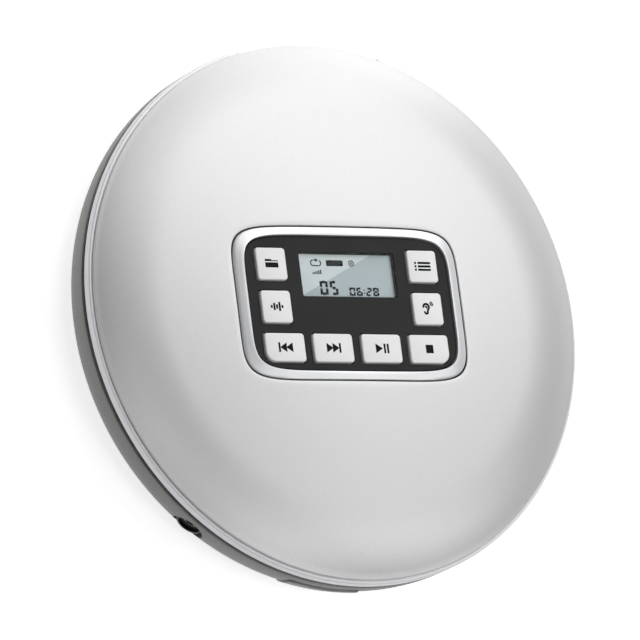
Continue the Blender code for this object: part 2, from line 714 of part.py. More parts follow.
def cut_shell_sides(shell):
    """Openings for the sockets, the keys and switch of the side, the open button and the lid's hinge."""
    outside = BODY_RADIUS + OVERRUN
    for turn, radius in ((HEADPHONE_TURN, HEADPHONE_HOLE_RADIUS), (POWER_TURN, POWER_HOLE_RADIUS)):
        cut(shell, rod("Socket hole", radius, around(turn, SOCKET_BODY_OUTER, 0, SOCKET_Z),
                       around(turn, outside, 0, SOCKET_Z)))
    for turn in (VOLUME_UP_TURN, VOLUME_DOWN_TURN):
        across = VOLUME_HALF_WIDTH + CLEARANCE
        tall = VOLUME_HALF_HEIGHT + CLEARANCE
        cut(shell, box("Volume key hole", (FLANGE_FRONT, -across, SIDE_KEY_Z - tall),
                       (outside, across, SIDE_KEY_Z + tall), turn=turn))
    tall = HOLD_HALF_HEIGHT + CLEARANCE
    cut(shell, box("Hold switch slot",
                   (FLANGE_FRONT, -HOLD_HALF_WIDTH - CLEARANCE, SIDE_KEY_Z - tall),
                   (outside, HOLD_HALF_WIDTH + HOLD_TRAVEL + CLEARANCE, SIDE_KEY_Z + tall), turn=HOLD_TURN))
    across = OPEN_HALF_WIDTH + CLEARANCE
    inside = FLANGE_FRONT - OPEN_FLANGE_THICKNESS - CLEARANCE
    cut(shell, box("Open button hole", (inside, -across, OPEN_LOW_Z - CLEARANCE),
                   (outside, across, OPEN_HIGH_Z + CLEARANCE), turn=OPEN_TURN))
    half = NOTCH_HALF + NOTCH_END_WALL / 2 + CLEARANCE
    cut(shell, box("Hinge relief", (-half, HINGE_Y - KNUCKLE_RADIUS, CRADLE_FLOOR_Z),
                   (half, outside, SHELL_TOP_Z + OVERRUN)))


def upper_housing():
    profile = [
        (0, DECK_TOP_Z),
        (WELL_RADIUS, DECK_TOP_Z),
        (WELL_RADIUS, SHOULDER_Z),
        (BODY_RADIUS - SHOULDER_EDGE, SHOULDER_Z),
        (BODY_RADIUS, SHOULDER_Z - SHOULDER_EDGE),
        (BODY_RADIUS, RING_LOW_Z),
        (SKIRT_OUTER, RING_LOW_Z),
        (SKIRT_OUTER, SKIRT_LOW_Z),
        (SKIRT_INNER, SKIRT_LOW_Z),
        (SKIRT_INNER, SHOULDER_LOW_Z),
        (WELL_OUTER, SHOULDER_LOW_Z),
        (WELL_OUTER, DECK_LOW_Z),
        (0, DECK_LOW_Z),
    ]
    housing = turned("upper_housing", profile, look=SILVER_PAINT)
    join(housing, battery_hump(), hinge_cradle())
    inside = BAY_WALL + CLEARANCE
    cut(housing, box("Battery hump hollow", (-BAY_HALF_X - inside, BAY_FRONT_Y - inside, SKIRT_LOW_Z),
                     (BAY_HALF_X + inside, BAY_REAR_Y + inside, HUMP_LOW_Z)))
    cut(housing, upright("Spindle opening", TURNTABLE_RADIUS + SPINDLE_OPENING_GAP, 0, 0,
                         DECK_LOW_Z - OVERRUN, DECK_TOP_Z + OVERRUN))
    window_end = LENS_START_X + SLED_TRAVEL + LENS_TOWER_RADIUS + 2 * CLEARANCE
    cut(housing, box("Pickup window", (PICKUP_WINDOW_START, -PICKUP_WINDOW_HALF_WIDTH, DECK_LOW_Z - OVERRUN),
                     (window_end, PICKUP_WINDOW_HALF_WIDTH, DECK_TOP_Z + OVERRUN)))
    cut(housing, box("Hinge notch", (-NOTCH_HALF, WELL_OUTER + HINGE_WALL_EXTRA, CRADLE_FLOOR_Z),
                     (NOTCH_HALF, BODY_RADIUS + OVERRUN, SHOULDER_Z + OVERRUN)))
    for side in (-1, 1):
        join(housing, rod("Hinge ear", KNUCKLE_RADIUS, (side * EAR_INNER_X, HINGE_Y, HINGE_Z),
                          (side * (NOTCH_HALF + NOTCH_END_WALL / 2), HINGE_Y, HINGE_Z)))
    pin = HINGE_PIN_HALF + CLEARANCE
    cut(housing, rod("Hinge pin hole", HINGE_PIN_RADIUS + CLEARANCE, (-pin, HINGE_Y, HINGE_Z),
                     (pin, HINGE_Y, HINGE_Z), SMALL_STEPS))
    slot = HOOK_HALF_WIDTH + HOOK_SLOT_GAP
    cut(housing, box("Hook slot", (HOOK_OUTER - HOOK_THICKNESS - HOOK_BARB - HOOK_SLOT_GAP, -slot,
                                   SHOULDER_LOW_Z - OVERRUN),
                     (HOOK_OUTER + CLEARANCE, slot, SHOULDER_Z + OVERRUN), turn=OPEN_TURN))
    place = around(SWITCH_TURN, PEG_PLACE, 0, 0)
    cut(housing, upright("Peg hole", PEG_RADIUS + HOOK_SLOT_GAP, place.x, place.y, SHOULDER_LOW_Z - OVERRUN,
                         SHOULDER_Z + OVERRUN, SMALL_STEPS))
    return housing


def battery_hump():
    """The raised floor over the cells, which runs into the front of the well's wall."""
    margin = BAY_WALL + CLEARANCE + HUMP_WALL
    hump = box("Battery hump", (-BAY_HALF_X - margin, -WELL_OUTER, DECK_TOP_Z - DECK_THICKNESS / 2),
               (BAY_HALF_X + margin, BAY_REAR_Y + margin, HUMP_TOP_Z))
    return keep_inside(hump, upright("Hump limit", WELL_RADIUS + WELL_WALL / 2, 0, 0, 0, LID_TOP_Z,
                                     LARGE_STEPS))


def hinge_cradle():
    """A block across the rear of the ring, from which the hinge notch is cut."""
    half = NOTCH_HALF + NOTCH_END_WALL
    cradle = box("Hinge cradle", (-half, WELL_OUTER - WELL_WALL / 2, CRADLE_FLOOR_Z - NOTCH_WALL),
                 (half, BODY_RADIUS, SHOULDER_Z - SHOULDER_EDGE))
    return keep_inside(cradle, upright("Cradle limit", SKIRT_OUTER - SKIRT_THICKNESS / 2, 0, 0, 0, LID_TOP_Z,
                                       LARGE_STEPS))


def feet():
    for count, (x, y) in enumerate(foot_places(), 1):
        upright(f"foot_{count}", FOOT_RADIUS, x, y, 0, UNDERSIDE_Z + FOOT_POCKET_DEPTH - CLEARANCE,
                look=RUBBER)


def crown_height(radius):
    """The height of the lid's outer face over its crown."""
    return LID_TOP_Z - CROWN_CURVE_RADIUS + sqrt(CROWN_CURVE_RADIUS**2 - radius**2)


def shoulder_radius(slope):
    """The radius of the arc that leaves the crown at its slope and ends at the lid's rim."""
    across = LID_RADIUS - LID_EDGE - CROWN_EDGE_RADIUS
    down = crown_height(CROWN_EDGE_RADIUS) - LID_LOW_Z - LID_RIM_HEIGHT
    return (across**2 + down**2) / (2 * (down * cos(slope) - across * sin(slope)))


def lid_profile(inset, rim_radius, rim_z):
    """The dome from its top out to the rim, drawn in by a wall's thickness: a flat crown, a tighter shoulder."""
    slope = asin(CROWN_EDGE_RADIUS / CROWN_CURVE_RADIUS)
    outer = shoulder_radius(slope)
    middle = (CROWN_EDGE_RADIUS - outer * sin(slope), crown_height(CROWN_EDGE_RADIUS) - outer * cos(slope))
    radius = outer - inset
    last = acos((rim_z - middle[1]) / radius)
    if rim_radius is not None:
        last = min(last, asin((rim_radius - middle[0]) / radius))
    crown = arc((0, LID_TOP_Z - CROWN_CURVE_RADIUS), CROWN_CURVE_RADIUS - inset, 0, slope, CROWN_POINTS)
    return crown + arc(middle, radius, slope, last, LID_SHOULDER_POINTS)[1:]


def lid_shell():
    outer = lid_profile(0, LID_RADIUS - LID_EDGE, LID_LOW_Z)
    inner = lid_profile(LID_WALL, None, LID_LOW_Z)
    edge = [(LID_RADIUS, outer[-1][1] - LID_EDGE), (LID_RADIUS, LID_LOW_Z)]
    lid = turned("lid_shell", outer + edge + inner[::-1], look=SILVER_PAINT)
    cut(lid, plate("Panel opening", [superellipse(PANEL_OPENING_X, PANEL_OPENING_Y)],
                   FASCIA_LOW_Z - LID_WALL - OVERRUN, LID_TOP_Z + OVERRUN))
    join(lid, hinge_arm(1), hinge_arm(-1), latch_hook(), switch_peg())
    cut(lid, rod("Knuckle hole", HINGE_PIN_RADIUS + CLEARANCE, (-EAR_INNER_X, HINGE_Y, HINGE_Z),
                 (EAR_INNER_X, HINGE_Y, HINGE_Z), SMALL_STEPS))
    return lid


def hinge_arm(side):
    """A knuckle with the arm that ties it to the underside of the lid."""
    near, far = side * KNUCKLE_INNER_X, side * (EAR_INNER_X - CLEARANCE)
    low, high = sorted((near, far))
    knuckle = rod("Hinge knuckle", KNUCKLE_RADIUS, (low, HINGE_Y, HINGE_Z), (high, HINGE_Y, HINGE_Z))
    arm = box("Hinge arm", (low, HINGE_Y - KNUCKLE_RADIUS, HINGE_Z),
              (high, HINGE_Y + HINGE_ARM_REAR, LID_TOP_Z))
    limit = [(0, LID_TOP_Z - LID_WALL / 2)] + lid_profile(LID_WALL / 2, None, LID_LOW_Z)[1:]
    limit += [(BODY_RADIUS, LID_LOW_Z - LID_GAP), (BODY_RADIUS, UNDERSIDE_Z), (0, UNDERSIDE_Z)]
    join(arm, knuckle)
    return keep_inside(arm, turned("Arm limit", limit))


def latch_hook():
    """The hook under the front of the lid. Its barb points to the lid's centre."""
    inner = HOOK_OUTER - HOOK_THICKNESS
    stem = box("Hook stem", (inner, -HOOK_HALF_WIDTH, HOOK_LOW_Z),
               (HOOK_OUTER, HOOK_HALF_WIDTH, LID_LOW_Z + HOOK_ROOT_DEPTH), turn=OPEN_TURN)
    wide = HOOK_HALF_WIDTH - JOIN_STEP
    barb = box("Hook barb", (inner - HOOK_BARB, -wide, HOOK_LOW_Z + JOIN_STEP),
               (HOOK_OUTER - HOOK_THICKNESS / 2, wide, HOOK_LOW_Z + HOOK_BARB_HEIGHT), turn=OPEN_TURN)
    return join(stem, barb)


def switch_peg():
    place = around(SWITCH_TURN, PEG_PLACE, 0, 0)
    return upright("Switch peg", PEG_RADIUS, place.x, place.y, SWITCH_LOW_Z + SWITCH_HEIGHT + CLEARANCE,
                   LID_LOW_Z + HOOK_ROOT_DEPTH, SMALL_STEPS)


def lid_switch():
    box("lid_switch", (SWITCH_INNER, -SWITCH_HALF_WIDTH, SWITCH_LOW_Z),
        (SWITCH_INNER + SWITCH_DEPTH, SWITCH_HALF_WIDTH, SWITCH_LOW_Z + SWITCH_HEIGHT), BLACK_PLASTIC,
        SWITCH_TURN)


def hinge_pin():
    rod("hinge_pin", HINGE_PIN_RADIUS, (-HINGE_PIN_HALF, HINGE_Y, HINGE_Z), (HINGE_PIN_HALF, HINGE_Y, HINGE_Z),
        SMALL_STEPS, STEEL)


def lid_spring():
    """A coil round the hinge pin, with one leg up to the lid and one down to the housing."""
    radius = HINGE_PIN_RADIUS + CLEARANCE + 2 * HINGE_SPRING_WIRE
    steps = HINGE_SPRING_TURNS * COIL_POINTS
    half = HINGE_SPRING_PITCH * HINGE_SPRING_TURNS / 2
    points = [(-half, HINGE_Y, HINGE_Z + HINGE_SPRING_LEG)]
    for step in range(steps + COIL_POINTS // 2 + 1):
        turn = 2 * pi * step / COIL_POINTS
        along = -half + HINGE_SPRING_PITCH * step / COIL_POINTS
        points.append((along, HINGE_Y - radius * sin(turn), HINGE_Z + radius * cos(turn)))
    points.append((points[-1][0], HINGE_Y, CRADLE_FLOOR_Z + CLEARANCE))
    pipe("lid_spring", points, HINGE_SPRING_WIRE, STEEL)
    print("least gap between the hinge spring's turns, mm:",
          round((HINGE_SPRING_PITCH - 2 * HINGE_SPRING_WIRE) * 1000, 2))


def panel_frame():
    """A bright frame that starts flush with the dome and rises inward to a flat rim."""
    outer = superellipse(PANEL_OPENING_X - CLEARANCE, PANEL_OPENING_Y - CLEARANCE)
    inner = superellipse(FRAME_INNER_X, FRAME_INNER_Y)
    low = FASCIA_LOW_Z + CLEARANCE
    mesh = bpy.data.meshes.new("panel_frame")
    shape = bmesh.new()
    loops = [
        [(x, y, low) for x, y in outer],
        [(x, y, crown_height(hypot(x, y))) for x, y in outer],
        [(x, y, FRAME_RIM_Z) for x, y in inner],
        [(x, y, low) for x, y in inner],
    ]
    rings = [[shape.verts.new(point) for point in loop] for loop in loops]
    for ring, following in zip(rings, rings[1:] + rings[:1]):
        for step in range(PANEL_POINTS):
            after = (step + 1) % PANEL_POINTS
            shape.faces.new((ring[step], ring[after], following[after], following[step]))
    bmesh.ops.recalc_face_normals(shape, faces=shape.faces)
    shape.to_mesh(mesh)
    shape.free()
    shade(mesh)
    return add_object("panel_frame", mesh, BRIGHT_METAL)


def key_table():
    """Each key's name, middle, half sizes and corner radii, the corners from the lower right one round."""
    even = (KEY_CORNER, KEY_CORNER, KEY_CORNER, KEY_CORNER)
    side = (SIDE_KEY_HALF_X, SIDE_KEY_HALF_Y)
    low = (LOW_KEY_HALF_X, LOW_KEY_HALF_Y)
    return (
        ("key_left_upper", (-SIDE_KEY_X, SIDE_KEY_UPPER_Y), side, even),
        ("key_left_lower", (-SIDE_KEY_X, SIDE_KEY_LOWER_Y), side, even),
        ("key_right_upper", (SIDE_KEY_X, SIDE_KEY_UPPER_Y), side, even),
        ("key_right_lower", (SIDE_KEY_X, SIDE_KEY_LOWER_Y), side, even),
        ("key_previous", (-LOW_KEY_OUTER_X, LOW_KEY_Y), low, even[:3] + (LOW_KEY_CORNER,)),
        ("key_next", (-LOW_KEY_INNER_X, LOW_KEY_Y), low, even),
        ("key_play", (LOW_KEY_INNER_X, LOW_KEY_Y), low, even),
        ("key_stop", (LOW_KEY_OUTER_X, LOW_KEY_Y), low, (LOW_KEY_CORNER,) + even[:3]),
    )


def key_outline(middle, half, corners, margin=0):
    low = [place - reach - margin for place, reach in zip(middle, half)]
    high = [place + reach + margin for place, reach in zip(middle, half)]
    return rounded_rectangle(low, high, 0, [corner + margin for corner in corners])


def window_outline(margin=0):
    low = (WINDOW_X - WINDOW_HALF_X - margin, WINDOW_Y - WINDOW_HALF_Y - margin)
    high = (WINDOW_X + WINDOW_HALF_X + margin, WINDOW_Y + WINDOW_HALF_Y + margin)
    return rounded_rectangle(low, high, WINDOW_CORNER + margin)


def key_low_z():
    return FASCIA_LOW_Z - CLEARANCE - KEY_FLANGE_THICKNESS


def fascia():
    face = superellipse(FRAME_INNER_X - CLEARANCE, FRAME_INNER_Y - CLEARANCE)
    flange_out = superellipse(PANEL_OPENING_X - 2 * CLEARANCE, PANEL_OPENING_Y - 2 * CLEARANCE)
    flange_in = superellipse(FRAME_INNER_X - FASCIA_FLANGE_INSET, FRAME_INNER_Y - FASCIA_FLANGE_INSET)
    inset = FASCIA_FLANGE_INSET + CLEARANCE
    step_in = superellipse(FRAME_INNER_X - inset, FRAME_INNER_Y - inset)
    body = plate("fascia", [face], FASCIA_LOW_Z, FASCIA_TOP_Z, BLACK_PLASTIC)
    join(body, plate("Fascia step", [face, step_in], FASCIA_LOW_Z - FLANGE_STEP, FASCIA_LOW_Z + FLANGE_STEP))
    join(body, plate("Fascia flange", [flange_out, flange_in], FASCIA_LOW_Z - FASCIA_FLANGE_THICKNESS,
                     FASCIA_LOW_Z))
    for name, middle, half, corners in key_table():
        cut(body, plate("Opening of " + name, [key_outline(middle, half, corners, CLEARANCE)],
                        FASCIA_LOW_Z - OVERRUN, FASCIA_TOP_Z + OVERRUN))
    cut(body, plate("Window opening", [window_outline(CLEARANCE)], FASCIA_LOW_Z - OVERRUN,
                    FASCIA_TOP_Z + OVERRUN))
    return body


def panel_keys():
    keys = []
    for name, middle, half, corners in key_table():
        key = plate(name, [key_outline(middle, half, corners)], key_low_z(), KEY_TOP_Z, WHITE_PLASTIC)
        flange = plate("Flange of " + name, [key_outline(middle, half, corners, KEY_FLANGE)],
                       key_low_z(), key_low_z() + KEY_FLANGE_THICKNESS)
        keys.append(join(key, flange))
    return keys


def display():
    window = plate("display_window", [window_outline()], FASCIA_TOP_Z - WINDOW_THICKNESS, FASCIA_TOP_Z,
                   CLEAR_PLASTIC)
    low = (WINDOW_X - WINDOW_HALF_X, WINDOW_Y - WINDOW_HALF_Y, LID_BOARD_TOP_Z + CLEARANCE)
    high = (WINDOW_X + WINDOW_HALF_X, WINDOW_Y + WINDOW_HALF_Y, FASCIA_TOP_Z - WINDOW_THICKNESS - CLEARANCE)
    return [window, box("display_module", low, high, GREY_PLASTIC)]


def key_pad():
    """One rubber sheet under all the keys, with a hole for the display."""
    margin = KEY_FLANGE + KEY_PAD_MARGIN
    far_x = LOW_KEY_OUTER_X + LOW_KEY_HALF_X + margin
    low = (-far_x, LOW_KEY_Y - LOW_KEY_HALF_Y - margin)
    high = (far_x, SIDE_KEY_UPPER_Y + SIDE_KEY_HALF_Y + margin)
    return plate("key_pad", [rounded_rectangle(low, high, KEY_CORNER + margin), window_outline(CLEARANCE)],
                 KEY_PAD_LOW_Z, KEY_PAD_LOW_Z + KEY_PAD_THICKNESS, RUBBER)


def lid_board():
    outline = rounded_rectangle((-LID_BOARD_HALF_X, -LID_BOARD_HALF_Y), (LID_BOARD_HALF_X, LID_BOARD_HALF_Y),
                                LID_BOARD_CORNER)
    return plate("lid_board", [outline], LID_BOARD_LOW_Z, LID_BOARD_TOP_Z, BOARD_GREEN)


def inner_cover():
    low = COVER_TOP_Z - INNER_COVER_THICKNESS
    profile = [
        (0, COVER_TOP_Z),
        (INNER_COVER_RADIUS, COVER_TOP_Z),
        (INNER_COVER_RADIUS, low),
        (HUB_POCKET_RADIUS, low),
        (HUB_POCKET_RADIUS, low + HUB_POCKET_DEPTH),
        (0, low + HUB_POCKET_DEPTH),
    ]
    return turned("inner_cover", profile, look=GREY_PLASTIC)


def spindle():
    upright("spindle_shaft", SHAFT_RADIUS, 0, 0, SHAFT_LOW_Z, CHUCK_TOP_Z - CHUCK_THICKNESS, SMALL_STEPS, STEEL)
    hole = SHAFT_RADIUS + CLEARANCE
    low = TURNTABLE_TOP_Z - TURNTABLE_THICKNESS
    boss_low = CHASSIS_TOP_Z + 2 * CLEARANCE
    turned("turntable", [
        (hole, TURNTABLE_TOP_Z),
        (TURNTABLE_RADIUS, TURNTABLE_TOP_Z),
        (TURNTABLE_RADIUS, low),
        (TURNTABLE_BOSS_RADIUS, low),
        (TURNTABLE_BOSS_RADIUS, boss_low),
        (hole, boss_low),
    ], MEDIUM_STEPS, BLACK_PLASTIC)
    hub_low = TURNTABLE_TOP_Z + CLEARANCE
    hub = turned("chuck_hub", [
        (0, CHUCK_TOP_Z),
        (CHUCK_RADIUS - CHUCK_EDGE, CHUCK_TOP_Z),
        (CHUCK_RADIUS, CHUCK_TOP_Z - CHUCK_EDGE),
        (CHUCK_RADIUS, hub_low),
        (hole, hub_low),
        (hole, CHUCK_TOP_Z - CHUCK_THICKNESS + CLEARANCE),
        (0, CHUCK_TOP_Z - CHUCK_THICKNESS + CLEARANCE),
    ], MEDIUM_STEPS, BLACK_PLASTIC)
    for count in range(CLAW_COUNT):
        turn = 2 * pi * count / CLAW_COUNT
        middle = CHUCK_TOP_Z - CHUCK_EDGE - CLAW_HEIGHT
        join(hub, box("Chuck claw", (CHUCK_RADIUS / 2, -CLAW_HALF_WIDTH, middle),
                      (CHUCK_RADIUS + CLAW_REACH, CLAW_HALF_WIDTH, middle + CLAW_HEIGHT), turn=turn))


def motor(name, radius, height, bore, hole_ends, x=0, y=0):
    """A motor's can under the chassis plate, with a bearing hole between two heights."""
    high = CHASSIS_LOW_Z - CLEARANCE
    can = upright(name, radius, x, y, high - height, high, look=STEEL)
    round_edges(can, CLEARANCE)
    return cut(can, upright("Bearing of " + name, bore, x, y, *hole_ends, SMALL_STEPS))


def motors():
    motor("spindle_motor", SPINDLE_MOTOR_RADIUS, SPINDLE_MOTOR_HEIGHT, SHAFT_RADIUS + CLEARANCE,
          (SHAFT_LOW_Z - CLEARANCE, CHASSIS_TOP_Z))
    motor("sled_motor", SLED_MOTOR_RADIUS, SLED_MOTOR_HEIGHT, PINION_SHAFT_RADIUS + CLEARANCE,
          (IDLER_WHEEL_LOW_Z, PINION_SHAFT_TOP_Z + CLEARANCE), SLED_MOTOR_X, SLED_MOTOR_Y)


def chassis_plate():
    """The drive's steel plate, clipped to the ring, with holes for the spindle, sled and screw bosses."""
    low = (CHASSIS_LEFT_X, CHASSIS_FRONT_Y)
    high = (CHASSIS_EDGE_RADIUS, CHASSIS_REAR_Y)
    chassis = plate("chassis_plate", [rounded_rectangle(low, high, DAMPER_RADIUS)], CHASSIS_LOW_Z,
                    CHASSIS_TOP_Z, STEEL)
    keep_inside(chassis, upright("Chassis limit", CHASSIS_EDGE_RADIUS, 0, 0, 0, LID_TOP_Z, LARGE_STEPS))
    window = SLED_MIDDLE_HALF_WIDTH + ROD_RADIUS
    cut(chassis, box("Sled window", (CHASSIS_WINDOW_START, -window, CHASSIS_LOW_Z - OVERRUN),
                     (CHASSIS_WINDOW_END, window, CHASSIS_TOP_Z + OVERRUN)))
    cut(chassis, upright("Spindle hole", SHAFT_RADIUS + 2 * CLEARANCE, 0, 0, CHASSIS_LOW_Z - OVERRUN,
                         CHASSIS_TOP_Z + OVERRUN, SMALL_STEPS))
    for place in boss_places():
        cut(chassis, upright("Boss hole", BOSS_RADIUS + 2 * CLEARANCE, place.x, place.y,
                             CHASSIS_LOW_Z - OVERRUN, CHASSIS_TOP_Z + OVERRUN, SMALL_STEPS))
    seat = CHASSIS_LOW_Z + CHASSIS_THICKNESS / 2
    reach = ROD_RADIUS + CLEARANCE
    for side in (-1, 1):
        across = sorted((side * (ROD_Y - ROD_HOLDER_HALF_WIDTH), side * (ROD_Y + ROD_HOLDER_HALF_WIDTH)))
        for start, end in ((ROD_START_X - CLEARANCE, CHASSIS_WINDOW_START + CLEARANCE),
                           (CHASSIS_WINDOW_END + CLEARANCE, ROD_END_X + CLEARANCE)):
            join(chassis, box("Rod holder", (start, across[0], ROD_Z - ROD_HOLDER_HALF_WIDTH),
                              (end, across[1], seat)))
        cut(chassis, rod("Rod hole", reach, (ROD_START_X - OVERRUN, side * ROD_Y, ROD_Z),
                         (ROD_END_X + OVERRUN, side * ROD_Y, ROD_Z), SMALL_STEPS))
    join(chassis, upright("Idler post", IDLER_POST_RADIUS, IDLER_X, IDLER_Y, IDLER_POST_LOW_Z, seat,
                          SMALL_STEPS))
    return chassis


def dampers():
    low = damper_low_z()
    high = low + DAMPER_LENGTH
    edge = DAMPER_LENGTH / 4
    for count, (x, y) in enumerate(damper_places(), 1):
        damper = turned(f"damper_{count}", [
            (0, high),
            (DAMPER_RADIUS, high),
            (DAMPER_RADIUS, high - edge),
            (DAMPER_WAIST, high - 2 * edge),
            (DAMPER_RADIUS, low + edge),
            (DAMPER_RADIUS, low),
            (0, low),
        ], SMALL_STEPS, RUBBER)
        damper.location = (x, y, 0)


def guide_rods():
    for count, side in enumerate((-1, 1), 1):
        rod(f"guide_rod_{count}", ROD_RADIUS, (ROD_START_X, side * ROD_Y, ROD_Z),
            (ROD_END_X, side * ROD_Y, ROD_Z), SMALL_STEPS, STEEL)


def pickup_sled():
    """A middle block with an ear over each guide rod, and a short tower under the lens."""
    rear, front = LENS_START_X - SLED_REAR, LENS_START_X + SLED_FRONT
    sled = box("pickup_sled", (rear, -SLED_MIDDLE_HALF_WIDTH, SLED_LOW_Z), (front, SLED_MIDDLE_HALF_WIDTH,
               SLED_HIGH_Z), BLACK_PLASTIC)
    join(sled, box("Sled ears", (rear + CLEARANCE, -SLED_HALF_WIDTH, SLED_LOW_Z + CLEARANCE),
                   (front - CLEARANCE, SLED_HALF_WIDTH, SLED_EAR_HIGH_Z)))
    join(sled, upright("Lens tower", LENS_TOWER_RADIUS, LENS_START_X, 0, SLED_LOW_Z + CLEARANCE,
                       LENS_TOWER_TOP_Z))
    cut(sled, upright("Lens seat", LENS_RADIUS + CLEARANCE, LENS_START_X, 0, LENS_TOWER_TOP_Z - LENS_SEAT_DEPTH,
                      LENS_TOWER_TOP_Z + OVERRUN))
    for side in (-1, 1):
        cut(sled, rod("Sled bearing", ROD_RADIUS + CLEARANCE, (rear - OVERRUN, side * ROD_Y, ROD_Z),
                      (front + OVERRUN, side * ROD_Y, ROD_Z), SMALL_STEPS))
    return sled


def pickup_lens():
    low = LENS_TOWER_TOP_Z - LENS_SEAT_DEPTH + CLEARANCE
    sphere = (LENS_RADIUS**2 + (LENS_TOP_Z - LENS_TOWER_TOP_Z) ** 2) / (2 * (LENS_TOP_Z - LENS_TOWER_TOP_Z))
    dome = arc((0, LENS_TOP_Z - sphere), sphere, 0, asin(LENS_RADIUS / sphere), CROWN_POINTS)
    lens = turned("pickup_lens", dome + [(LENS_RADIUS, low), (0, low)], MEDIUM_STEPS, LENS_GLASS)
    lens.location = (LENS_START_X, 0, 0)


def involute(angle):
    return tan(angle) - angle


def gear_outline(teeth, module, first_turn):
    """The outline of a gear with involute flanks; its first tooth points along first_turn."""
    pitch = teeth * module / 2
    base = pitch * cos(PRESSURE_ANGLE)
    radii = [pitch - module * DEDENDUM_SHARE, pitch, pitch + module]
    half_pitch = pi / (2 * teeth) - GEAR_BACKLASH / (2 * pitch)
    halves = []
    for radius in radii:
        angle = acos(min(base / radius, 1))
        halves.append(half_pitch + involute(PRESSURE_ANGLE) - involute(angle))
    points = []
    for tooth in range(teeth):
        middle = first_turn + 2 * pi * tooth / teeth
        for radius, half in zip(radii, halves):
            points.append((radius * cos(middle - half), radius * sin(middle - half)))
        for radius, half in zip(radii[::-1], halves[::-1]):
            points.append((radius * cos(middle + half), radius * sin(middle + half)))
    return points


def sled_rack():
    """A straight rack along the sled, with a gap between two teeth opposite the idler's axis."""
    step = pi * RACK_MODULE
    half = step / 4 - GEAR_BACKLASH / 2
    lean = tan(PRESSURE_ANGLE) * RACK_MODULE
    root = RACK_PITCH_Y - RACK_MODULE * DEDENDUM_SHARE
    tip = RACK_PITCH_Y + RACK_MODULE
    back = SLED_HALF_WIDTH + CLEARANCE
    start = IDLER_X - RACK_TEETH * step + step
    end = IDLER_X + step
    points = [(end, root), (end, back), (start, back), (start, root)]
    for tooth in range(RACK_TEETH):
        middle = start + step * (tooth + 1 / 2)
        points.append((middle - half - lean * DEDENDUM_SHARE, root))
        points.append((middle - half + lean, tip))
        points.append((middle + half - lean, tip))
        points.append((middle + half + lean * DEDENDUM_SHARE, root))
    return plate("sled_rack", [points], RACK_LOW_Z, RACK_LOW_Z + RACK_HEIGHT, WHITE_PLASTIC)


def idler_gear():
    """A large wheel that the pinion drives and a small one that drives the rack, on one hub."""
    wheel_top = IDLER_WHEEL_LOW_Z + IDLER_WHEEL_THICKNESS
    small_low = RACK_LOW_Z - JOIN_STEP
    idler = plate("idler_gear", [gear_outline(IDLER_LARGE_TEETH, PINION_MODULE, SLED_MOTOR_TURN)],
                  IDLER_WHEEL_LOW_Z, wheel_top, WHITE_PLASTIC)
    parts = [
        plate("Small idler", [gear_outline(IDLER_SMALL_TEETH, RACK_MODULE, -pi / 2)], small_low,
              IDLER_GEAR_TOP_Z),
        upright("Idler hub", IDLER_HUB_RADIUS, 0, 0, IDLER_WHEEL_LOW_Z + CLEARANCE,
                IDLER_GEAR_TOP_Z - CLEARANCE, SMALL_STEPS),
    ]
    join(idler, *parts)
    cut(idler, upright("Idler bore", IDLER_POST_RADIUS + CLEARANCE, 0, 0, IDLER_WHEEL_LOW_Z - OVERRUN,
                       IDLER_GEAR_TOP_Z + OVERRUN, SMALL_STEPS))
    idler.location.x += IDLER_X
    idler.location.y += IDLER_Y
    return idler


def motor_pinion():
    low = IDLER_WHEEL_LOW_Z
    turn = SLED_MOTOR_TURN - pi + pi / PINION_TEETH
    pinion = plate("motor_pinion", [gear_outline(PINION_TEETH, PINION_MODULE, turn)], low,
                   low + IDLER_WHEEL_THICKNESS, BRASS)
    join(pinion, upright("Pinion shaft", PINION_SHAFT_RADIUS, 0, 0, low + CLEARANCE, PINION_SHAFT_TOP_Z,
                         SMALL_STEPS))
    pinion.location.x += SLED_MOTOR_X
    pinion.location.y += SLED_MOTOR_Y
    return pinion


def main_board():
    board = upright("main_board", BOARD_RADIUS, 0, 0, BOARD_LOW_Z, BOARD_TOP_Z, LARGE_STEPS, BOARD_GREEN)
    inside = BAY_WALL + CLEARANCE
    cut(board, box("Bay room", (-BAY_HALF_X - inside, -BODY_RADIUS, BOARD_LOW_Z - OVERRUN),
                   (BAY_HALF_X + inside, BAY_REAR_Y + inside, BOARD_TOP_Z + OVERRUN)))
    for x, y in damper_places():
        cut(board, upright("Post hole", DAMPER_RADIUS + CLEARANCE, x, y, BOARD_LOW_Z - OVERRUN,
                           BOARD_TOP_Z + OVERRUN, SMALL_STEPS))
    return board


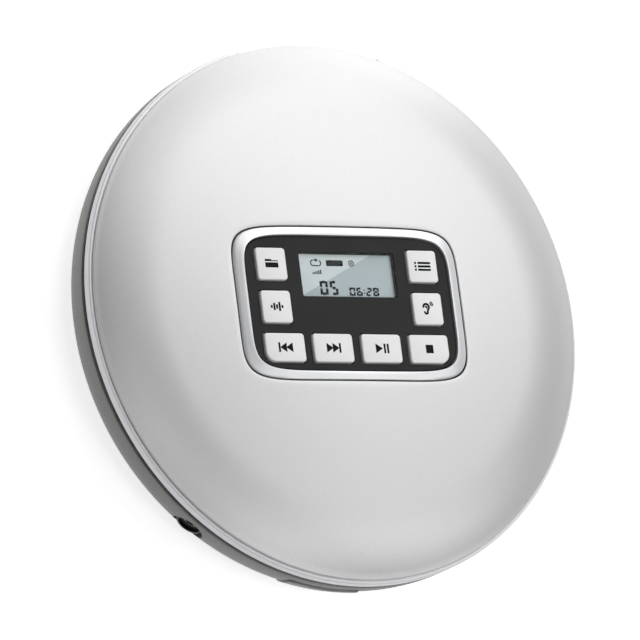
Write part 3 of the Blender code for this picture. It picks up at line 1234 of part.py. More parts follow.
def battery_door():
    """The shell's underside below the cells, cut to the bay's plan, with a barrel along its rear."""
    skin = [(0, UNDERSIDE_Z + DOOR_THICKNESS)] + shell_curve(DOOR_THICKNESS)[::-1] + shell_curve(0)
    door = plate("battery_door", [bay_outline(-CLEARANCE)], UNDERSIDE_Z - OVERRUN, FLOOR_Z + OVERRUN,
                 GREY_PLASTIC)
    barrel_end = BAY_HALF_X - BAY_CORNER / 2 - CLEARANCE
    pin_end = BAY_HALF_X + DOOR_PIN_LENGTH - CLEARANCE
    rear = box("Door rear", (-BODY_RADIUS, DOOR_AXIS_Y, -BODY_RADIUS), (BODY_RADIUS, BODY_RADIUS, BODY_RADIUS))
    keep_inside(door, turned("Door skin", skin + [(0, UNDERSIDE_Z)]))
    cut(door, rear)
    join(door, rod("Door barrel", DOOR_BARREL_RADIUS, (-barrel_end, DOOR_AXIS_Y, DOOR_AXIS_Z),
                   (barrel_end, DOOR_AXIS_Y, DOOR_AXIS_Z), SMALL_STEPS))
    join(door, rod("Door pins", DOOR_PIN_RADIUS, (-pin_end, DOOR_AXIS_Y, DOOR_AXIS_Z),
                   (pin_end, DOOR_AXIS_Y, DOOR_AXIS_Z), SMALL_STEPS))
    front = BAY_FRONT_Y + DOOR_THUMB_WIDTH
    cut(door, box("Thumb groove", (-DOOR_THUMB_LENGTH / 2, front, UNDERSIDE_Z - OVERRUN),
                  (DOOR_THUMB_LENGTH / 2, front + DOOR_THUMB_WIDTH, UNDERSIDE_Z + DOOR_THUMB_DEPTH)))
    return door


def cell_y(count):
    return CELL_MIDDLE_Y + (CELL_PITCH / 2 if count == 1 else -CELL_PITCH / 2)


def contacts():
    """A bridge across the left ends of the cells, and a contact for each cell at the right."""
    outer = BAY_HALF_X - CLEARANCE
    inner = outer - CONTACT_THICKNESS
    low, high = CELL_Z - CONTACT_HALF_HEIGHT, CELL_Z + CONTACT_HALF_HEIGHT
    box("contact_bridge", (-outer, cell_y(2) - CONTACT_HALF_WIDTH, low),
        (-inner, cell_y(1) + CONTACT_HALF_WIDTH, high), STEEL)
    for count, name in ((1, "contact_positive"), (2, "contact_negative")):
        box(name, (inner, cell_y(count) - CONTACT_HALF_WIDTH, low),
            (outer, cell_y(count) + CONTACT_HALF_WIDTH, high), STEEL)
    battery_spring("battery_spring_1", -1, 1, inner)
    battery_spring("battery_spring_2", 1, 2, inner)


def battery_spring(name, side, cell, base):
    """A coil that narrows from the contact towards the cell."""
    steps = BATTERY_SPRING_TURNS * COIL_POINTS
    start = base - CLEARANCE - BATTERY_SPRING_WIRE
    points = []
    for step in range(steps + 1):
        share = step / steps
        radius = BATTERY_SPRING_RADIUS + share * (BATTERY_SPRING_TIP_RADIUS - BATTERY_SPRING_RADIUS)
        turn = 2 * pi * BATTERY_SPRING_TURNS * share
        points.append((side * (start - BATTERY_SPRING_LENGTH * share), cell_y(cell) + radius * cos(turn),
                       CELL_Z + radius * sin(turn)))
    pipe(name, points, BATTERY_SPRING_WIRE, STEEL)
    gap = BATTERY_SPRING_LENGTH / BATTERY_SPRING_TURNS - 2 * BATTERY_SPRING_WIRE
    print("least gap between the turns of", name, "in mm:", round(gap * 1000, 2))


def socket(name, turn, hole_radius, face, bore_radius, bore_depth):
    """A socket's body on the board, with a round nose in the shell's hole."""
    body = box(name, (SOCKET_BODY_INNER, -SOCKET_BODY_HALF_WIDTH, BOARD_TOP_Z + CLEARANCE),
               (SOCKET_BODY_OUTER, SOCKET_BODY_HALF_WIDTH, SOCKET_BODY_HIGH_Z), BLACK_PLASTIC, turn)
    nose = SOCKET_BODY_OUTER - SOCKET_BODY_HALF_WIDTH / 2
    join(body, rod("Nose of " + name, hole_radius - SOCKET_NOSE_GAP, around(turn, nose, 0, SOCKET_Z),
                   around(turn, face, 0, SOCKET_Z)))
    return cut(body, rod("Bore of " + name, bore_radius, around(turn, face - bore_depth, 0, SOCKET_Z),
                         around(turn, face + OVERRUN, 0, SOCKET_Z), SMALL_STEPS))


def sockets():
    jack = socket("headphone_jack", HEADPHONE_TURN, HEADPHONE_HOLE_RADIUS, HEADPHONE_FACE,
                  HEADPHONE_BORE_RADIUS, HEADPHONE_BORE_DEPTH)
    cut(jack, rod("Dish", HEADPHONE_DISH_RADIUS,
                  around(HEADPHONE_TURN, HEADPHONE_FACE - HEADPHONE_DISH_DEPTH, 0, SOCKET_Z),
                  around(HEADPHONE_TURN, HEADPHONE_FACE + OVERRUN, 0, SOCKET_Z)))
    power = socket("power_jack", POWER_TURN, POWER_HOLE_RADIUS, POWER_FACE, POWER_BORE_RADIUS,
                   POWER_BORE_DEPTH)
    join(power, rod("Centre pin", POWER_PIN_RADIUS,
                    around(POWER_TURN, POWER_FACE - POWER_BORE_DEPTH - POWER_PIN_RADIUS, 0, SOCKET_Z),
                    around(POWER_TURN, POWER_FACE - POWER_BORE_RADIUS / 2, 0, SOCKET_Z), SMALL_STEPS))


def side_keys():
    """Two volume keys that press in, and a switch that slides along the side."""
    for name, turn in (("volume_up", VOLUME_UP_TURN), ("volume_down", VOLUME_DOWN_TURN)):
        key = box(name, (FLANGE_FRONT - SIDE_FLANGE_THICKNESS / 2, -VOLUME_HALF_WIDTH,
                         SIDE_KEY_Z - VOLUME_HALF_HEIGHT),
                  (BODY_RADIUS, VOLUME_HALF_WIDTH, SIDE_KEY_Z + VOLUME_HALF_HEIGHT), GREY_PLASTIC, turn)
        round_edges(key, VOLUME_EDGE)
        wide = VOLUME_HALF_WIDTH + SIDE_FLANGE_EXTRA
        tall = VOLUME_HALF_HEIGHT + SIDE_FLANGE_EXTRA
        inside = FLANGE_FRONT - SIDE_FLANGE_THICKNESS
        join(key, box("Flange of " + name, (inside, -wide, SIDE_KEY_Z - tall),
                      (FLANGE_FRONT, wide, SIDE_KEY_Z + tall), turn=turn))
    knob = box("hold_slider", (FLANGE_FRONT - SIDE_FLANGE_THICKNESS / 2, -HOLD_HALF_WIDTH,
                               SIDE_KEY_Z - HOLD_HALF_HEIGHT),
               (HOLD_FACE, HOLD_HALF_WIDTH, SIDE_KEY_Z + HOLD_HALF_HEIGHT), GREY_PLASTIC, HOLD_TURN)
    round_edges(knob, VOLUME_EDGE)
    tall = HOLD_HALF_HEIGHT + SIDE_FLANGE_EXTRA
    join(knob, box("Hold switch plate",
                   (FLANGE_FRONT - SIDE_FLANGE_THICKNESS,
                    -HOLD_HALF_WIDTH - HOLD_TRAVEL - SIDE_FLANGE_EXTRA, SIDE_KEY_Z - tall),
                   (FLANGE_FRONT, HOLD_HALF_WIDTH + HOLD_TRAVEL + SIDE_FLANGE_EXTRA, SIDE_KEY_Z + tall),
                   turn=HOLD_TURN))


def open_button():
    flange_rear = FLANGE_FRONT - OPEN_FLANGE_THICKNESS
    middle = (flange_rear + FLANGE_FRONT) / 2
    button = box("open_button", (middle, -OPEN_HALF_WIDTH, OPEN_LOW_Z),
                 (OPEN_FACE, OPEN_HALF_WIDTH, OPEN_HIGH_Z), GREY_PLASTIC, OPEN_TURN)
    round_edges(button, OPEN_EDGE, 3)
    limit = turned("Button limit", [(0, SHELL_TOP_Z)] + [(radius + OPEN_FACE - BODY_RADIUS, height)
                   for radius, height in [(BODY_RADIUS, SHELL_TOP_Z)] + shell_curve(0)] + [(0, UNDERSIDE_Z)])
    keep_inside(button, limit)
    wide = OPEN_HALF_WIDTH + OPEN_FLANGE_EXTRA
    join(button, box("Button flange", (flange_rear, -wide, FLANGE_LOW_Z),
                     (FLANGE_FRONT, wide, OPEN_HIGH_Z - OPEN_FLANGE_EXTRA), turn=OPEN_TURN))
    return button


def latch_slider():
    """The plate that the open button pushes in, with a post whose lip holds the lid's barb down."""
    plate_high = LATCH_PLATE_LOW_Z + LATCH_PLATE_THICKNESS
    plate_outer = FLANGE_FRONT - OPEN_FLANGE_THICKNESS - CLEARANCE
    barb_tip = HOOK_OUTER - HOOK_THICKNESS - HOOK_BARB
    lip_tip = barb_tip + LATCH_OVERLAP
    post_outer = barb_tip - CLEARANCE
    post_inner = post_outer - LATCH_POST_THICKNESS
    riser_inner = plate_outer - LATCH_PLATE_THICKNESS
    lip_low = HOOK_LOW_Z + HOOK_BARB_HEIGHT + CLEARANCE
    lip_high = lip_low + LATCH_LIP_HEIGHT
    step_low = OPEN_HIGH_Z + JOIN_STEP
    step_high = step_low + LATCH_PLATE_THICKNESS
    slider = box("latch_slider", (LATCH_PLATE_INNER, -LATCH_PLATE_HALF_WIDTH, LATCH_PLATE_LOW_Z),
                 (plate_outer, LATCH_PLATE_HALF_WIDTH, plate_high), WHITE_PLASTIC, OPEN_TURN)
    join(
        slider,
        box("Slider riser", (riser_inner, -LATCH_HALF_WIDTH, LATCH_PLATE_LOW_Z + CLEARANCE),
            (plate_outer - JOIN_STEP, LATCH_HALF_WIDTH, step_high), turn=OPEN_TURN),
        box("Slider post", (post_inner, -LATCH_HALF_WIDTH + JOIN_STEP, step_low),
            (post_outer, LATCH_HALF_WIDTH - JOIN_STEP, lip_high), turn=OPEN_TURN),
        box("Slider lip", (post_inner + CLEARANCE, -LATCH_HALF_WIDTH + CLEARANCE, lip_low),
            (lip_tip, LATCH_HALF_WIDTH - CLEARANCE, lip_high + JOIN_STEP), turn=OPEN_TURN),
    )
    return slider


def build():
    lower_shell()
    upper_housing()
    feet()
    main_board()
    sockets()
    side_keys()
    open_button()
    latch_slider()
    lid_switch()
    hinge_pin()
    lid_spring()
    spindle()
    motors()
    chassis_plate()
    dampers()
    guide_rods()
    pickup_sled()
    pickup_lens()
    sled_rack()
    idler_gear()
    motor_pinion()
    contacts()
    door_pivot = pivot("battery_door_pivot", (0, DOOR_AXIS_Y, DOOR_AXIS_Z))
    carry(door_pivot, [battery_door()])
    lid_pivot = pivot("lid_pivot", (0, HINGE_Y, HINGE_Z))
    carry(lid_pivot, [lid_shell(), panel_frame(), fascia(), key_pad(), lid_board(), inner_cover()])
    carry(lid_pivot, panel_keys() + display())


build()
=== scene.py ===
"""Dresses the portable disc player: finer pieces and finishes round its CAD frame, and a plain studio.

Metres, +Z up, in the frame's own space. Every piece but the ribbon rides on the CAD body that carries it.
"""

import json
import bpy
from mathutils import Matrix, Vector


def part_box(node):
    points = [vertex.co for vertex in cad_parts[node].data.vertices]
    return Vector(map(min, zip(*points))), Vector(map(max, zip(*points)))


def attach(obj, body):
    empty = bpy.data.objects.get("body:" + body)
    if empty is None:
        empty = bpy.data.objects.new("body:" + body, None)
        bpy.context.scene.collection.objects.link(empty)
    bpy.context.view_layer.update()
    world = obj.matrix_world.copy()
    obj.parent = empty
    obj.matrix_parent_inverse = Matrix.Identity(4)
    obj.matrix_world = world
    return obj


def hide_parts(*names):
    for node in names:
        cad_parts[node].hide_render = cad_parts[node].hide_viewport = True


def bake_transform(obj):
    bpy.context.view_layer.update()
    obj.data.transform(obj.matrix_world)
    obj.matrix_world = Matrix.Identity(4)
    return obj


bl_info = {
    "name": "Portable disc player",
    "version": (1, 0, 0),
    "blender": (4, 5, 0),
    "location": "3D View > Sidebar > Disc player",
    "description": "Builds the visible pieces and the studio of a portable disc player",
    "category": "Object",
}

from math import asin, cos, hypot, pi, radians, sin, sqrt

import bmesh
import bpy
from mathutils import Matrix, Vector

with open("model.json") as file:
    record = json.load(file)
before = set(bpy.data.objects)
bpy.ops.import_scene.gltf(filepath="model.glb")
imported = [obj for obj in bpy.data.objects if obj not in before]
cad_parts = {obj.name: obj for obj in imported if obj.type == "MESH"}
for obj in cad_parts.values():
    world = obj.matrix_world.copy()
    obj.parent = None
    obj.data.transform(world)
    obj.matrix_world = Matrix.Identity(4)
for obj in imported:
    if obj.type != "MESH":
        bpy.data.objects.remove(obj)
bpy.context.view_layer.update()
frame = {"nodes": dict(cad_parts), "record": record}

# Fits and fineness
CLEARANCE = 0.0003
OVERRUN = 0.002
WELD = 0.000002
SHARP_ANGLE = radians(32)
ROUND_STEPS = 192
SMALL_STEPS = 48

# Round body, from the frame
BODY_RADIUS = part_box("upper_housing")[1].x
RING_TOP_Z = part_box("upper_housing")[1].z
LID_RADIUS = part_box("lid_shell")[1].x
LID_TOP_Z = 0.0266
LID_LOW_Z = RING_TOP_Z + CLEARANCE
FLOOR_RADIUS = BODY_RADIUS - 0.0100
SHELL_SIDE_Z = 0.0130
SHELL_WALL = 0.0016
SHELL_EDGE = 0.0003
RING_LOW_Z = 0.01605
RING_EDGE = 0.00045
SKIRT_OUTER = BODY_RADIUS - 0.0019
SKIRT_INNER = SKIRT_OUTER - 0.0012
SKIRT_LOW_Z = 0.0126
WELL_RADIUS = BODY_RADIUS - 0.0090
WELL_OUTER = WELL_RADIUS + 0.0014
RING_SKIN = 0.0014
DECK_TOP_Z = 0.0156
DECK_LOW_Z = 0.0146

# Lid
LID_WALL = 0.0014
CROWN_CURVE = 0.500
CROWN_EDGE = LID_RADIUS - 0.0171
LID_EDGE = 0.0003
LID_RIM_HEIGHT = 0.0004
DOME_RINGS = 30
PANEL_STEPS = 192
OPENING_X = 0.0325
OPENING_Y = 0.0199
OPENING_EDGE = 0.00030
CORNER_SHARE = 6.9

# Hinge, latch and lid switch
HINGE_Y = 0.0652
HINGE_Z = 0.0165
PIN_RADIUS = 0.0008
KNUCKLE_RADIUS = 0.0020
KNUCKLE_INNER_X = 0.0060
EAR_INNER_X = 0.0190
NOTCH_HALF = 0.0216
NOTCH_END_WALL = 0.0014
CRADLE_FLOOR_Z = 0.0128
ARM_REAR = 0.0012
OPEN_TURN = radians(262)
HOOK_OUTER = BODY_RADIUS - 0.0035
HOOK_THICKNESS = 0.0010
HOOK_BARB = 0.0008
HOOK_HALF_WIDTH = 0.0030
HOOK_LOW_Z = 0.0134
SWITCH_TURN = radians(300)
PEG_PLACE = BODY_RADIUS - 0.0050
PEG_RADIUS = 0.0006


def linear(colour):
    """A colour written as sRGB hex, such as "C8C8CA", as the linear values that a shader takes."""
    parts = [int(colour[start:start + 2], 16) / 255 for start in (0, 2, 4)]
    return (*[part / 12.92 if part <= 0.04045 else ((part + 0.055) / 1.055) ** 2.4 for part in parts], 1.0)


def add_node(tree, kind, settings=None, links=None):
    """Adds a node. Settings are values for its inputs or attributes, and links say what feeds an input."""
    made = tree.nodes.new(kind)
    for name, value in (settings or {}).items():
        if isinstance(name, int) or name in made.inputs:
            made.inputs[name].default_value = value
        else:
            setattr(made, name, value)
    for name, source in (links or {}).items():
        tree.links.new(source, made.inputs[name])
    return made


def finish(name, colour, roughness, grain, bump, metallic=0.0, spread=0.0, wear=0.0, **sockets):
    """A material with a grain of a real size in metres, which varies its colour and raises its surface."""
    made = bpy.data.materials.new(name)
    made.use_nodes = True
    tree = made.node_tree
    shader = tree.nodes["Principled BSDF"]
    values = {"Base Color": linear(colour), "Roughness": roughness, "Metallic": metallic}
    for socket, value in {**values, **sockets}.items():
        shader.inputs[socket].default_value = value
    place = add_node(tree, "ShaderNodeTexCoord").outputs["Object"]
    fine = add_node(tree, "ShaderNodeTexNoise", {"Scale": 1 / grain, "Detail": 2.0}, {"Vector": place})
    raised = add_node(tree, "ShaderNodeBump", {"Strength": bump, "Distance": grain / 4},
                      {"Height": fine.outputs["Fac"]})
    tree.links.new(raised.outputs["Normal"], shader.inputs["Normal"])
    if spread:
        dark = [channel * (1 - spread) for channel in linear(colour)[:3]] + [1.0]
        light = [min(channel * (1 + spread), 1.0) for channel in linear(colour)[:3]] + [1.0]
        mixed = add_node(tree, "ShaderNodeMix", {"data_type": "RGBA", 6: dark, 7: light},
                         {0: fine.outputs["Fac"]})
        tree.links.new(mixed.outputs[2], shader.inputs["Base Color"])
    if wear:
        broad = add_node(tree, "ShaderNodeTexNoise", {"Scale": 1 / (40 * grain), "Detail": 4.0},
                         {"Vector": place})
        limits = {1: 0.3, 2: 0.7, 3: roughness - wear, 4: roughness + wear}
        ramp = add_node(tree, "ShaderNodeMapRange", limits, {0: broad.outputs["Fac"]})
        tree.links.new(ramp.outputs[0], shader.inputs["Roughness"])
    return made


def make_finishes():
    """Every finish on the player, by the name that its pieces use."""
    looks = bpy.context.scene.disc_player_colours
    return {
        # Two-pack paint with aluminium flake over moulded ABS: satin, with a sparkle of fine grains. The real
        # flakes are near 0.05 mm, and they are drawn at 0.45 mm so that they show.
        "silver": finish("Satin silver paint", looks.silver, 0.40, 0.00045, 0.12, 0.45, 0.06),
        # Pale pearl paint on the ring: fewer flakes than the lid's, so that it stays bright from every side.
        "ring": finish("Silver ring paint", looks.ring, 0.42, 0.00035, 0.05, 0.25, 0.03),
        # Grey paint on the ABS lower shell, semi-matt with a fine orange peel.
        "side": finish("Grey side paint", looks.side, 0.48, 0.00060, 0.06, 0.15, 0.03, 0.04),
        # Satin-chromed ABS: a pale metal whose reflection is too soft to show the room.
        "chrome": finish("Satin chrome plate", looks.chrome, 0.42, 0.00040, 0.02, 0.55, 0.015),
        # Moulded black ABS with a fine spark-eroded texture, which keeps it from mirroring the room.
        "fascia": finish("Black moulded ABS", looks.fascia, 0.50, 0.00022, 0.08, 0.0, 0.08, 0.04,
                         **{"Specular IOR Level": 0.22}),
        # Moulded white ABS key caps, smooth and faintly translucent at the edges.
        "key": finish("White moulded ABS", looks.key, 0.34, 0.00040, 0.03, 0.0, 0.015, 0.04,
                      **{"Subsurface Weight": 0.08, "Subsurface Scale": 0.0004}),
        # Pad-printed black ink, a little duller than the cap that it lies on.
        "ink": finish("Printed black ink", looks.ink, 0.62, 0.00015, 0.05, 0.0, 0.10,
                      **{"Specular IOR Level": 0.15}),
        # Dark grey injection-moulded ABS inside the lid and round the drive. The faces below the ring's lower
        # edge take it too, as painted shade in the gap over the lower shell.
        "inner": finish("Grey moulded ABS and painted gap shade", looks.inner, 0.55, 0.00035, 0.12, 0.0, 0.05, 0.01),
        # Acetal and ABS in black, of the turntable, sled and sockets: slightly waxy. The wall of the lid's
        # opening takes it too, as painted shade in the seam round the panel frame.
        "black": finish("Black acetal and painted seam shade", "1A1A1B", 0.40, 0.00030, 0.06, 0.0, 0.06, 0.05),
        # Natural acetal gears and slider: milky, with a waxy gloss.
        "acetal": finish("White acetal", "E4E2DA", 0.42, 0.00040, 0.05, 0.0, 0.02, 0.04,
                         **{"Subsurface Weight": 0.15, "Subsurface Scale": 0.0008}),
        # Zinc-plated pressed steel: pale grey with a faint rolling grain.
        "steel": finish("Plated steel", "B9BBBE", 0.30, 0.00050, 0.04, 1.0, 0.04, 0.08),
        # Nickel-plated spring strip, brighter than the pressings.
        "nickel": finish("Nickel plate", "CFCBC2", 0.22, 0.00030, 0.03, 1.0, 0.03, 0.05),
        # Turned brass of the motor's pinion.
        "brass": finish("Turned brass", "C79E52", 0.28, 0.00025, 0.05, 1.0, 0.04, 0.05),
        # Nitrile rubber of the feet and dampers: dull, with a fine bloom.
        "rubber": finish("Black rubber", "242425", 0.80, 0.00025, 0.20, 0.0, 0.12, 0.05),
        # Solder mask over glass fibre: glossy green with the weave of the cloth just showing.
        "board": finish("Green solder mask", "1E6A3C", 0.32, 0.00060, 0.05, 0.0, 0.10, 0.05),
        # Moulded epoxy packages of the chips.
        "epoxy": finish("Black epoxy", "202022", 0.60, 0.00020, 0.12, 0.0, 0.10),
        # Liquid crystal segments, dark and faintly blue.
        "segments": finish("Liquid crystal segments", "15191B", 0.60, 0.00020, 0.02, 0.0, 0.05,
                           **{"Specular IOR Level": 0.1}),
        # Anti-reflection coated glass of the lens, blue to violet.
        "lens": finish("Coated lens glass", "3A4F8C", 0.05, 0.00100, 0.0, 0.0, 0.0, 0.0,
                       **{"Coat Weight": 1.0, "Coat Roughness": 0.03}),
        # Polyimide film of the flexible cable: amber and glossy.
        "film": finish("Amber polyimide film", "B8762A", 0.30, 0.00080, 0.02, 0.0, 0.04),
    }


FINISHES = {}


def look(name):
    """The finish of this name. All of them are made the first time that one is asked for."""
    if not FINISHES:
        FINISHES.update(make_finishes())
    return FINISHES[name]


def around(turn, along, across, height):
    """The point that lies along a radius at this turn, across it to the left, and at this height."""
    return Matrix.Rotation(turn, 4, "Z") @ Vector((along, across, height))


def spun(profile, steps=ROUND_STEPS):
    """A profile of radii and heights turned round Z. It closes on itself unless it starts on the axis."""
    shape = bmesh.new()
    corners = [shape.verts.new((radius, 0, height)) for radius, height in profile]
    edges = [shape.edges.new(pair) for pair in zip(corners, corners[1:])]
    if profile[0][0] > 0:
        edges.append(shape.edges.new((corners[-1], corners[0])))
    bmesh.ops.spin(shape, geom=corners + edges, cent=(0, 0, 0), axis=(0, 0, 1), angle=2 * pi, steps=steps,
                   use_merge=True)
    bmesh.ops.remove_doubles(shape, verts=shape.verts, dist=WELD)
    bmesh.ops.recalc_face_normals(shape, faces=shape.faces)
    return shape


def block(low, high, turn=0, edge=0, segments=3):
    """A block between two corners, which are measured along and across the radius at this turn."""
    shape = bmesh.new()
    bmesh.ops.create_cube(shape, size=1)
    bmesh.ops.scale(shape, vec=[far - near for near, far in zip(low, high)], verts=shape.verts)
    bmesh.ops.translate(shape, vec=[(far + near) / 2 for near, far in zip(low, high)], verts=shape.verts)
    if edge:
        bmesh.ops.bevel(shape, geom=shape.edges[:], offset=edge, offset_type="OFFSET", segments=segments,
                        profile=0.5, affect="EDGES", material=-1)
    bmesh.ops.rotate(shape, cent=(0, 0, 0), matrix=Matrix.Rotation(turn, 3, "Z"), verts=shape.verts)
    return shape


def rod(start, end, radius, steps=SMALL_STEPS, edge=0, far_radius=None):
    """A cylinder or cone from one point to another, with a rounded edge at both ends if one is given."""
    start, end = Vector(start), Vector(end)
    shape = bmesh.new()
    bmesh.ops.create_cone(shape, cap_ends=True, segments=steps, radius1=radius,
                          radius2=radius if far_radius is None else far_radius, depth=(end - start).length)
    if edge:
        rims = [e for e in shape.edges if any(len(f.verts) > 4 for f in e.link_faces)]
        bmesh.ops.bevel(shape, geom=rims, offset=edge, offset_type="OFFSET", segments=3, profile=0.5,
                        affect="EDGES", material=-1)
    turn = (end - start).to_track_quat("Z", "Y").to_matrix().to_4x4()
    bmesh.ops.transform(shape, matrix=Matrix.Translation((start + end) / 2) @ turn, verts=shape.verts)
    return shape


def upright(x, y, low, high, radius, steps=SMALL_STEPS, edge=0):
    return rod((x, y, low), (x, y, high), radius, steps, edge)


def prism(outline, low, high, edge=0, segments=3):
    """A flat outline given a height, with a rounded upper edge if one is given."""
    shape = bmesh.new()
    corners = [shape.verts.new((x, y, low)) for x, y in outline]
    face = shape.faces.new(corners)
    made = bmesh.ops.extrude_face_region(shape, geom=[face])
    raised = [item for item in made["geom"] if isinstance(item, bmesh.types.BMVert)]
    bmesh.ops.translate(shape, vec=(0, 0, high - low), verts=raised)
    bmesh.ops.recalc_face_normals(shape, faces=shape.faces)
    if edge:
        top = [e for e in shape.edges if all(abs(v.co.z - high) < WELD for v in e.verts)]
        bmesh.ops.bevel(shape, geom=top, offset=edge, offset_type="OFFSET", segments=segments, profile=0.5,
                        affect="EDGES", material=-1)
    return shape


def loft(loops, closed=False):
    """Bridges closed loops of points, one after the other. The last bridges to the first if it is closed."""
    shape = bmesh.new()
    rings = []
    for loop in loops:
        corners = [shape.verts.new(point) for point in loop]
        rings.append([shape.edges.new(pair) for pair in zip(corners, corners[1:] + corners[:1])])
    for near, far in zip(rings, rings[1:] + (rings[:1] if closed else [])):
        bmesh.ops.bridge_loops(shape, edges=near + far)
    bmesh.ops.recalc_face_normals(shape, faces=shape.faces)
    return shape


def added(shape, *others):
    """Puts other shapes into the same mesh, and frees them."""
    for other in others:
        mesh = bpy.data.meshes.new("Added shape")
        other.to_mesh(mesh)
        other.free()
        shape.from_mesh(mesh)
        bpy.data.meshes.remove(mesh)
    return shape


def carved(shape, *steps):
    """The shape after a row of Boolean steps, each the pair of an operation and the shape it takes."""
    def standing(name, source):
        mesh = bpy.data.meshes.new(name)
        source.to_mesh(mesh)
        source.free()
        made = bpy.data.objects.new(name, mesh)
        bpy.context.scene.collection.objects.link(made)
        return made

    base = standing("Carved shape", shape)
    tools = []
    for operation, other in steps:
        tools.append(standing("Carving shape", other))
        step = base.modifiers.new("Carving", "BOOLEAN")
        step.operation = operation
        step.solver = "EXACT"
        step.object = tools[-1]
    bpy.context.view_layer.update()
    result = bmesh.new()
    result.from_object(base, bpy.context.evaluated_depsgraph_get())
    for item in [base] + tools:
        mesh = item.data
        bpy.data.objects.remove(item, do_unlink=True)
        bpy.data.meshes.remove(mesh)
    bmesh.ops.remove_doubles(result, verts=result.verts, dist=WELD)
    return result


def add_piece(name, shape, finish_name, body, stands_for=(), edge=0):
    """Makes a piece of a finished shape, with its place in its mesh, that rides on a body if one is given."""
    mesh = bpy.data.meshes.new(name)
    shape.to_mesh(mesh)
    shape.free()
    mesh.materials.append(look(finish_name))
    mesh.shade_smooth()
    mesh.set_sharp_from_angle(angle=SHARP_ANGLE)
    piece = bpy.data.objects.new(name, mesh)
    bpy.context.scene.collection.objects.link(piece)
    if edge:
        bevel = piece.modifiers.new("Rounded edges", "BEVEL")
        bevel.width = edge
        bevel.segments = 3
        bevel.limit_method = "ANGLE"
        bevel.angle_limit = SHARP_ANGLE
        bevel.harden_normals = True
    if body:
        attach(piece, body)
    if stands_for:
        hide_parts(*stands_for)
    return piece


def body_of_node(node):
    """The CAD body that carries a node."""
    bodies = frame["record"]["behaviour"]["bodies"]
    return next(body for body, nodes in bodies.items() if node in nodes)


def stand_in(node, shape, finish_name, edge=0):
    """Makes the piece that stands for a CAD node, on the node's own body."""
    return add_piece(node + "_fine", shape, finish_name, body_of_node(node), [node], edge)


def refine(finish_name, slot, *nodes, edge=0):
    """Stands smooth-shaded copies in for CAD nodes, with their loose triangles merged."""
    for node in nodes:
        shape = bmesh.new()
        shape.from_mesh(frame["nodes"][node].data)
        bmesh.ops.remove_doubles(shape, verts=shape.verts, dist=WELD)
        bmesh.ops.dissolve_limit(shape, angle_limit=radians(0.5), verts=shape.verts, edges=shape.edges)
        stand_in(node, shape, finish_name, edge)


def hinge_rod(start, end, radius, edge=0):
    """A rod along the lid's hinge, between two places across the player."""
    return rod((start, HINGE_Y, HINGE_Z), (end, HINGE_Y, HINGE_Z), radius, edge=edge)


def crown_height(radius):
    return LID_TOP_Z - CROWN_CURVE + sqrt(CROWN_CURVE**2 - radius**2)


def shoulder_arc():
    """The shoulder's radius and centre: it leaves the crown at the crown's slope and ends at the rim."""
    slope = asin(CROWN_EDGE / CROWN_CURVE)
    across = LID_RADIUS - LID_EDGE - CROWN_EDGE
    down = crown_height(CROWN_EDGE) - LID_LOW_Z - LID_RIM_HEIGHT
    radius = (across**2 + down**2) / (2 * (down * cos(slope) - across * sin(slope)))
    return radius, CROWN_EDGE - radius * sin(slope), crown_height(CROWN_EDGE) - radius * cos(slope)


def dome_height(radius, inset=0):
    """The lid's height at a radius, on its outer face or on one drawn in by a wall's thickness."""
    shoulder, middle, level = shoulder_arc()
    crown_end = CROWN_EDGE * (CROWN_CURVE - inset) / CROWN_CURVE
    if radius <= crown_end:
        return LID_TOP_Z - CROWN_CURVE + sqrt((CROWN_CURVE - inset) ** 2 - radius**2)
    return level + sqrt((shoulder - inset) ** 2 - (radius - middle) ** 2)


def inner_rim_radius():
    """Where the lid's inner face meets the level of its rim."""
    shoulder, middle, level = shoulder_arc()
    return middle + sqrt((shoulder - LID_WALL) ** 2 - (LID_LOW_Z - level) ** 2)


def superellipse(half_x, half_y, count=PANEL_STEPS):
    """A rectangle's outline with soft, squared corners."""
    points = []
    for step in range(count):
        turn = 2 * pi * (step + 0.5) / count
        reach = abs(cos(turn)) ** CORNER_SHARE + abs(sin(turn)) ** CORNER_SHARE
        reach **= -1 / CORNER_SHARE
        points.append((half_x * reach * cos(turn), half_y * reach * sin(turn)))
    return points


def rounded_rectangle(low, high, radii, count=8):
    """The outline from the lower right corner round to the lower left, with a radius for each corner."""
    corners = ((high[0], low[1]), (high[0], high[1]), (low[0], high[1]), (low[0], low[1]))
    signs = ((-1, 1), (-1, -1), (1, -1), (1, 1))
    points = []
    for place, ((x, y), (side_x, side_y), radius) in enumerate(zip(corners, signs, radii)):
        for step in range(count + 1):
            turn = pi / 2 * (place - 1 + step / count)
            points.append((x + radius * (side_x + cos(turn)), y + radius * (side_y + sin(turn))))
    return points


